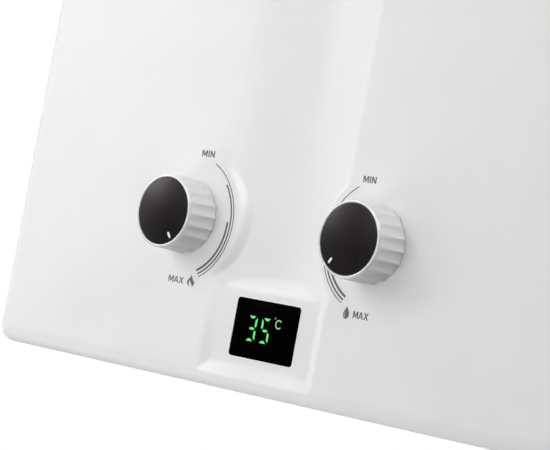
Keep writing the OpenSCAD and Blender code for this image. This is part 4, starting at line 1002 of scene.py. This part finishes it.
def display_painted_highlight():
    """Thin white ring round the panel's window: a painted highlight where the window's edge catches light.
    """
    face = PANEL_Y + PLATFORM_DEPTH
    front = face - HIGHLIGHT_RIM_LIFT
    rear = face + SHEET / 2
    rows = [(0.0, rear), (0.0, front), (HIGHLIGHT_RIM_W, front), (HIGHLIGHT_RIM_W, rear)]
    verts = []
    for out, y in rows:
        outline = rounded_rect(WINDOW_W + 2 * out, WINDOW_H + 2 * out, WINDOW_CORNER + out)
        verts += [(x, y, DISPLAY_Z + z) for x, z in outline]
    rings = rings_of(verts, len(rows))
    faces = []
    for low, high in zip(rings, rings[1:] + rings[:1]):
        faces += bridge(low, high)
    obj = make_piece("display_painted_highlight", verts, faces, "casing", "window_highlight_paint", PIECE_SHARP)


def segment_shapes():
    """Outlines of the bars of a digit, centred on nought, by place."""
    half_w = DIGIT_W / 2
    half_h = DIGIT_H / 2
    end = [
        (-BAR_HALF, half_h), (BAR_HALF, half_h), (BAR_SHORT_HALF, half_h - BAR_T),
        (-BAR_SHORT_HALF, half_h - BAR_T),
    ]
    right = [(half_w - x, half_h - z) for x, z in SIDE_TOP]
    right += [(half_w - x, z) for x, z in SIDE_FOOT]
    middle = [(MIDDLE_HALF[0] * x, MIDDLE_HALF[1] * z) for x, z in ring_points(0, 0, 1.0)]

    def flip_x(shape):
        return [(-x, z) for x, z in reversed(shape)]

    def flip_z(shape):
        return [(x, -z) for x, z in reversed(shape)]

    def moved(shape, dx):
        return [(x + dx, z) for x, z in shape]

    return {
        "top_left": moved(end, BAR_SHIFT_LEFT), "top_right": moved(end, BAR_SHIFT_RIGHT),
        "bottom_left": moved(flip_z(end), BAR_SHIFT_LEFT), "middle": middle, "upper_right": right,
        "lower_right": flip_z(right), "upper_left": flip_x(right),
    }


def display_digits():
    """The lit reading of two digits."""
    shapes = segment_shapes()
    shown = (
        (DIGIT_X[0], ("top_left", "upper_right", "middle", "lower_right", "bottom_left")),
        (DIGIT_X[1], ("top_right", "upper_left", "middle", "lower_right", "bottom_left")),
    )
    centre_z = DISPLAY_Z + DIGIT_LIFT
    solids = []
    for x0, bars in shown:
        for bar in bars:
            outline = [(x0 + x, centre_z + z) for x, z in shapes[bar]]
            solids.append(prism(outline, LENS_FRONT - INK_T, LENS_FRONT + LIT_SUNK))
    verts, faces = joined(solids)
    obj = make_piece("display_digits", verts, faces, "casing", "digit_green")


def display_unit(name, outline, slot):
    """One lit sign beside the digits, its outline given beside the digits' middle."""
    shape = [(x, DISPLAY_Z + DIGIT_LIFT + z) for x, z in outline]
    verts, faces = prism(shape, LENS_FRONT - INK_T, LENS_FRONT + LIT_SUNK)
    obj = make_piece(name, verts, faces, "casing", slot)


def letter_c():
    """Outline of the letter: an open ring of even stroke."""
    def arc(grow, start, end):
        points = quarter(0, 0, 1, start, end, LETTER_STEPS)
        return [
            (LETTER_MID[0] + (LETTER_HALF[0] + grow) * x, LETTER_MID[1] + (LETTER_HALF[1] + grow) * z)
            for x, z in points
        ]

    last = 360 - LETTER_OPEN
    return arc(LETTER_STROKE, LETTER_OPEN, last) + arc(-LETTER_STROKE, last, LETTER_OPEN)


display_glass()
display_painted_highlight()
display_digits()
display_unit("display_letter", letter_c(), "letter_green")
display_unit("display_dot", ring_points(*DOT_MID, DOT_R), "digit_grey")


# Print on the panel
def scale_arcs(name, side, tops):
    """Three arcs on the inner side of a knob; the right-hand ones are mirrored."""
    solids = []
    for (r, w, end), start in zip(SCALE_ARCS, tops):
        steps = max(ARC_STEPS_LEAST, int(abs(end - start) / ARC_STEP))
        outline = quarter(0, 0, r + w / 2, start, end, steps)
        outline += quarter(0, 0, r - w / 2, end, start, steps)
        outline = [(side * (KNOB_X + PRINT_OUT - x), KNOB_Z - PRINT_DROP + z) for x, z in outline]
        solids.append(prism(outline, PANEL_Y - INK_T, PANEL_Y + INK_SUNK))
    verts, faces = joined(solids)
    obj = make_piece(name, verts, faces, "casing", "dial_ink")


# Letters in shares of their height: width and outlines
STROKE = 0.16
LETTER_GAP = 0.14
A_GAP = 0.06
A_WIDTH = 0.74
A_LEG = ((0, 0), (0.28, 1), (0.37, 1), (0.37, 0.78), (0.27, 0.38), (0.23, 0.22), (0.17, 0))
A_BAR = ((0.23, 0.22), (0.27, 0.38), (0.47, 0.38), (0.51, 0.22))
LETTERS = {
    "M": (0.8, [(
        (0, 0), (0, 1), (0.2, 1), (0.4, 0.42), (0.6, 1), (0.8, 1), (0.8, 0), (0.64, 0), (0.64, 0.66),
        (0.455, 0.12), (0.345, 0.12), (0.16, 0.66), (0.16, 0),
    )]),
    "I": (STROKE, [((0, 0), (0, 1), (STROKE, 1), (STROKE, 0))]),
    "N": (0.66, [(
        (0, 0), (0, 1), (0.17, 1), (0.5, 0.36), (0.5, 1), (0.66, 1), (0.66, 0), (0.49, 0), (0.16, 0.64),
        (0.16, 0),
    )]),
    "A": (A_WIDTH, [A_LEG, A_BAR, tuple((round(A_WIDTH - x, 3), z) for x, z in reversed(A_LEG))]),
    "X": (0.74, [(
        (0, 0), (0.27, 0.5), (0.02, 1), (0.21, 1), (0.37, 0.66), (0.53, 1), (0.72, 1), (0.47, 0.5),
        (0.74, 0), (0.55, 0), (0.37, 0.34), (0.19, 0),
    )]),
}


def word(name, text, low, high):
    """Short word filling a box on the panel; low and high are its corners, z from the knobs' axis."""
    start = 0.0
    spots = {}
    flat = []
    for i, letter in enumerate(text):
        if i:
            start += A_GAP if "A" in (letter, text[i - 1]) else LETTER_GAP
        width, shapes = LETTERS[letter]
        for shape in shapes:
            flat.append([spots.setdefault((round(start + x, 3), z), len(spots)) for x, z in shape])
        start += width
    wide = high[0] - low[0]
    tall = high[1] - low[1]
    points = [(low[0] + wide * x / start, KNOB_Z + low[1] + tall * z) for x, z in spots]
    count = len(points)
    verts = [(x, PANEL_Y - INK_T, z) for x, z in points]
    verts += [(x, PANEL_Y + INK_SUNK, z) for x, z in points]
    used = {(a, b) for face in flat for a, b in zip(face, face[1:] + face[:1])}
    faces = flat + [[i + count for i in reversed(face)] for face in flat]
    faces += [(b, a, a + count, b + count) for a, b in sorted(used) if (b, a) not in used]
    obj = make_piece(name, verts, faces, "casing", "dial_ink", PIECE_SHARP)


def icon(name, outline, lift, slot):
    """Small sign from a closed outline, z from the knobs' axis."""
    shape = [(x, KNOB_Z + z) for x, z in smooth_outline(outline, ICON_STEPS)]
    verts, faces = prism(shape, PANEL_Y - lift, PANEL_Y + INK_SUNK)
    obj = make_piece(name, verts, faces, "casing", slot)


ICON_STEPS = 4
LIGHT_LIFT = 1.6 * INK_T
FLAME = (
    (-44.9, -25.1), (-44.3, -25.9), (-43.9, -26.6), (-43.6, -27.2), (-43.1, -27.2), (-42.7, -27.9),
    (-42.8, -28.9), (-43.2, -29.6), (-43.9, -30.0), (-43.8, -29.3), (-44.5, -28.5), (-45.0, -27.9),
    (-45.2, -27.3), (-45.7, -27.5), (-45.9, -28.2), (-45.7, -28.9), (-45.3, -29.5), (-45.6, -29.7),
    (-46.5, -29.0), (-46.9, -28.3), (-46.7, -27.5), (-46.1, -26.7), (-45.5, -26.1), (-45.1, -25.4),
)
DROP = (
    (44.5, -26.2), (45.5, -27.6), (46.0, -28.5), (46.2, -29.4), (46.0, -30.3), (45.4, -31.0),
    (44.7, -31.3), (43.9, -31.1), (43.3, -30.5), (43.1, -29.5), (43.3, -28.6), (43.8, -27.6),
    (44.2, -26.7),
)
DROP_LIGHT = (
    (44.1, -28.2), (43.7, -29.0), (43.5, -29.9), (43.7, -30.6), (44.4, -30.9), (44.3, -30.3),
    (44.1, -29.5), (44.2, -28.9),
)
WORDS = {
    "gas_min": ("MIN", (-51.9, 26.5), (-44.3, 29.4)),
    "gas_max": ("MAX", (-58.4, -29.3), (-49.2, -26.5)),
    "water_min": ("MIN", (41.0, 24.3), (47.9, 27.1)),
    "water_max": ("MAX", (48.3, -30.4), (56.4, -27.5)),
}

scale_arcs("gas_scale", -1, GAS_ARC_TOPS)
scale_arcs("water_scale", 1, WATER_ARC_TOPS)
for word_name, (letters, box_low, box_high) in WORDS.items():
    word(word_name, letters, box_low, box_high)
icon("gas_flame", FLAME, INK_T, "dial_ink")
icon("water_drop", DROP, INK_T, "dial_ink")
icon("water_drop_light", DROP_LIGHT, LIGHT_LIFT, "dial_ink_pale")


# Threaded pipe stubs
def pipe_stub(name, node):
    """Threaded end, neck through the shelf, hexagon above it and a plain neck up to the valve or union."""
    low, high = box_mm(node)
    cx = (low[0] + high[0]) / 2
    cy = (low[1] + high[1]) / 2
    tip = low[2]
    top = high[2]
    thread_low = tip + THREAD_START
    hex_top = SHELF_Z + HEX_H

    def place(x, y, h):
        return (cx + x, cy + y, h)

    def shaped(row, angle):
        r, h, kind = row
        if kind == "thread":
            turn = ((h - tip) / THREAD_PITCH - angle / FULL) % 1.0
            tooth = (abs(2 * turn - 1) - THREAD_FLAT) / (1 - 2 * THREAD_FLAT)
            tooth = min(1.0, max(0.0, tooth))
            fade = min(1.0, (NECK_LOW - h) / (THREAD_RUNOUT * THREAD_PITCH))
            return r - (THREAD_R - THREAD_ROOT) * (1 - tooth) * max(0.0, fade)
        if kind == "hexagon":
            flat = math.pi / 3
            turn = (angle + flat / 2) % flat - flat / 2
            side = HEX_R * math.cos(flat / 2)
            return min(r, side / math.cos(turn))
        return r

    rows = [(0.0, tip + STUB_BORE_L, ""), (STUB_BORE_R, tip + STUB_BORE_L, "")]
    rows += [(STUB_BORE_R, tip + STUB_EDGE, ""), (STUB_BORE_R + STUB_EDGE, tip, "")]
    rows.append((THREAD_ROOT - STUB_EDGE, tip, ""))
    steps = int((NECK_LOW - tip - THREAD_START) / (THREAD_PITCH / THREAD_ROWS))
    for i in range(steps + 1):
        h = thread_low + (NECK_LOW - tip - THREAD_START) * i / steps
        rows.append((min(THREAD_R, THREAD_ROOT + THREAD_LEAD * (h - tip)), h, "thread"))
    rows += [(NECK_R, NECK_LOW + NECK_STEP, ""), (NECK_R, SHELF_Z, "")]
    rows += [(HEX_R - HEX_EDGE_R, SHELF_Z, "hexagon"), (HEX_R, SHELF_Z + HEX_EDGE_H, "hexagon")]
    rows += [(HEX_R, hex_top - HEX_EDGE_H, "hexagon"), (HEX_R - HEX_EDGE_R, hex_top, "hexagon")]
    rows += [(NECK_R, hex_top, ""), (NECK_R, top - NECK_EDGE, "")]
    rows += [(NECK_R - NECK_EDGE, top, ""), (0.0, top, "")]
    verts, faces = turned(rows, STUB_POINTS, place, shaped)
    obj = make_piece(name, verts, faces, "casing", "brass", STUB_SHARP)
    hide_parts(node)


pipe_stub("gas_stub", "gas_inlet")
pipe_stub("cold_stub", "cold_inlet")
pipe_stub("hot_stub", "hot_outlet")


# Spring of the gas poppet
def poppet_coil():
    """A steel copy of the frame's poppet spring, shown in place of it."""
    obj = bpy.data.objects.new("poppet_coil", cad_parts["poppet_spring"].data.copy())
    bpy.context.scene.collection.objects.link(obj)
    dress(obj, "steel")
    shade(obj.data, PIECE_SHARP)
    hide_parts("poppet_spring")
    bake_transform(obj)


poppet_coil()

# Finishes of the frame's own nodes
for slot_name, members in NODES_OF.items():
    for member in members:
        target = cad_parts[member]
        target.data.materials.clear()
        target.data.materials.append(MATERIALS[slot_name])

# Floor, in metres: it glows by itself, as the lights hardly reach it, and sends no light to the object
FLOOR_Z = -3.0
FLOOR_HALF = 16.0
FLOOR_GLOW = 0.55
FLOOR_CORNERS = ((-1, -1), (1, -1), (1, 1), (-1, 1))
floor_mesh = bpy.data.meshes.new("floor")
floor_points = [(sx * FLOOR_HALF, sy * FLOOR_HALF, FLOOR_Z) for sx, sy in FLOOR_CORNERS]
floor_mesh.from_pydata(floor_points, [], [(0, 1, 2, 3)])
floor = bpy.data.objects.new("floor", floor_mesh)
bpy.context.scene.collection.objects.link(floor)
floor_mat = finish_material(
    "floor_pale", ((0.3, grey(0.78)), (0.7, grey(0.80))), (0.6, 0.7), scale=3.0, grain=200.0, lift=0.02,
)
floor_mesh.materials.append(floor_mat)
floor_bsdf = floor_mat.node_tree.nodes["Principled BSDF"]
floor_bsdf.inputs["Emission Color"].default_value = (1.0, 1.0, 1.0, 1.0)
floor_bsdf.inputs["Emission Strength"].default_value = FLOOR_GLOW
floor.visible_diffuse = False
floor.visible_glossy = False

# World: white behind the object, softer as a light
SKY = 0.1
world = bpy.data.worlds.new("studio")
bpy.context.scene.world = world
world.use_nodes = True
sky_tree = world.node_tree
sky_tree.nodes.clear()
sky_out = sky_tree.nodes.new("ShaderNodeOutputWorld")
sky_mix = sky_tree.nodes.new("ShaderNodeMixShader")
sky_path = sky_tree.nodes.new("ShaderNodeLightPath")
sky_soft = add(sky_tree, "ShaderNodeBackground", Color=(1, 1, 1, 1), Strength=SKY)
sky_white = add(sky_tree, "ShaderNodeBackground", Color=(1, 1, 1, 1), Strength=1.0)
sky_tree.links.new(sky_path.outputs["Is Camera Ray"], sky_mix.inputs["Fac"])
sky_tree.links.new(sky_soft.outputs["Background"], sky_mix.inputs[1])
sky_tree.links.new(sky_white.outputs["Background"], sky_mix.inputs[2])
sky_tree.links.new(sky_mix.outputs["Shader"], sky_out.inputs["Surface"])

# Lights: place in metres, width and height in metres, power in watts
AIM = Vector((0.0, -0.18, -0.2))
LIGHT_SPREAD = 1.3
LIGHTS = {
    "front_low": ((0.2, -2.0, -0.5), (1.2, 0.7), 0.95),
    "front_left": ((-0.6, -2.1, 0.5), (0.9, 0.9), 1.26),
    "top_front": ((-0.2, -1.3, 1.0), (0.5, 0.4), 0.13),
    "left_side": ((-1.6, -0.6, -0.2), (1.0, 1.4), 0.9),
    "low_left": ((-0.8, -0.8, -1.0), (0.8, 0.4), 0.47),
    "low_front": ((-0.6, -1.4, -0.9), (0.8, 0.4), 0.44),
    "key_low": ((-1.36, -1.12, 0.2), (0.4, 0.4), 0.55),
    "key_mid": ((-0.9, -1.3, 0.7), (0.5, 0.5), 0.65),
    "key_high": ((-1.1, -0.45, 0.9), (0.4, 0.6), 0.745),
    "right": ((1.3, -0.4, 0.9), (0.5, 0.5), 1.78),
    "right_low": ((1.2, -1.0, -0.6), (0.5, 0.5), 0.39),
    "over": ((0.4, -0.35, 1.4), (0.5, 0.4), 1.35),
    "graze_right": ((0.9, -0.207, 0.87), (0.03, 0.5), 0.42),
    "under": ((0.0, 0.07, -1.03), (0.7, 0.12), 0.68),
    "floor_fill": ((0.0, -0.6, -1.1), (2.2, 2.2), 0.73),
    "back": ((0.3, 1.8, 0.6), (1.4, 1.4), 10.0),
}
for name, (place, size, power) in LIGHTS.items():
    data = bpy.data.lights.new(name, "AREA")
    data.shape = "RECTANGLE"
    data.size, data.size_y = size
    data.energy = power
    data.spread = LIGHT_SPREAD
    lamp = bpy.data.objects.new(name, data)
    bpy.context.scene.collection.objects.link(lamp)
    lamp.location = place
    lamp.rotation_euler = (AIM - Vector(place)).to_track_quat("-Z", "Y").to_euler()

# Front light that ends along the trough, so that the right panel is a little darker
CUT_PLACE = Vector((0.1, -2.0, 0.0))
CUT_END = Vector((0.034, -0.18, -0.15))
CUT_HALF = math.radians(20.0)
CUT_POWER = 17.8
CUT_BLEND = 0.2
CUT_SOFT = 0.15
cut_data = bpy.data.lights.new("front_cut", "SPOT")
cut_data.energy = CUT_POWER
cut_data.spot_size = 2 * CUT_HALF
cut_data.spot_blend = CUT_BLEND
cut_data.shadow_soft_size = CUT_SOFT
cut_lamp = bpy.data.objects.new("front_cut", cut_data)
bpy.context.scene.collection.objects.link(cut_lamp)
cut_lamp.location = CUT_PLACE
cut_way = Matrix.Rotation(CUT_HALF, 3, "Z") @ (CUT_END - CUT_PLACE)
cut_lamp.rotation_euler = cut_way.to_track_quat("-Z", "Y").to_euler()

# Camera: place in metres, lens and sensor in millimetres
CAMERA_PLACE = (0.60547, -0.84268, -0.23194)
CAMERA_AZIMUTH = math.radians(42.525)
CAMERA_ELEVATION = math.radians(-1.831)
CAMERA_ROLL = math.radians(10.386)
CAMERA_LENS = 140.94
CAMERA_SENSOR = 36.0
CAMERA_REACH = 50.0
camera_data = bpy.data.cameras.new("camera")
camera_data.lens = CAMERA_LENS
camera_data.sensor_width = CAMERA_SENSOR
camera_data.sensor_fit = "HORIZONTAL"
camera_data.clip_end = CAMERA_REACH
camera = bpy.data.objects.new("camera", camera_data)
bpy.context.scene.collection.objects.link(camera)
back = Vector((
    math.sin(CAMERA_AZIMUTH) * math.cos(CAMERA_ELEVATION),
    -math.cos(CAMERA_AZIMUTH) * math.cos(CAMERA_ELEVATION),
    math.sin(CAMERA_ELEVATION),
))
right = Vector((math.cos(CAMERA_AZIMUTH), math.sin(CAMERA_AZIMUTH), 0.0))
up = back.cross(right)
axis_x = math.cos(CAMERA_ROLL) * right + math.sin(CAMERA_ROLL) * up
axis_y = -math.sin(CAMERA_ROLL) * right + math.cos(CAMERA_ROLL) * up
turn = Matrix((axis_x, axis_y, back)).transposed().to_4x4()
camera.matrix_world = Matrix.Translation(Vector(CAMERA_PLACE)) @ turn
bpy.context.scene.camera = camera
bpy.context.scene.view_settings.view_transform = "Standard"

bpy.context.view_layer.update()
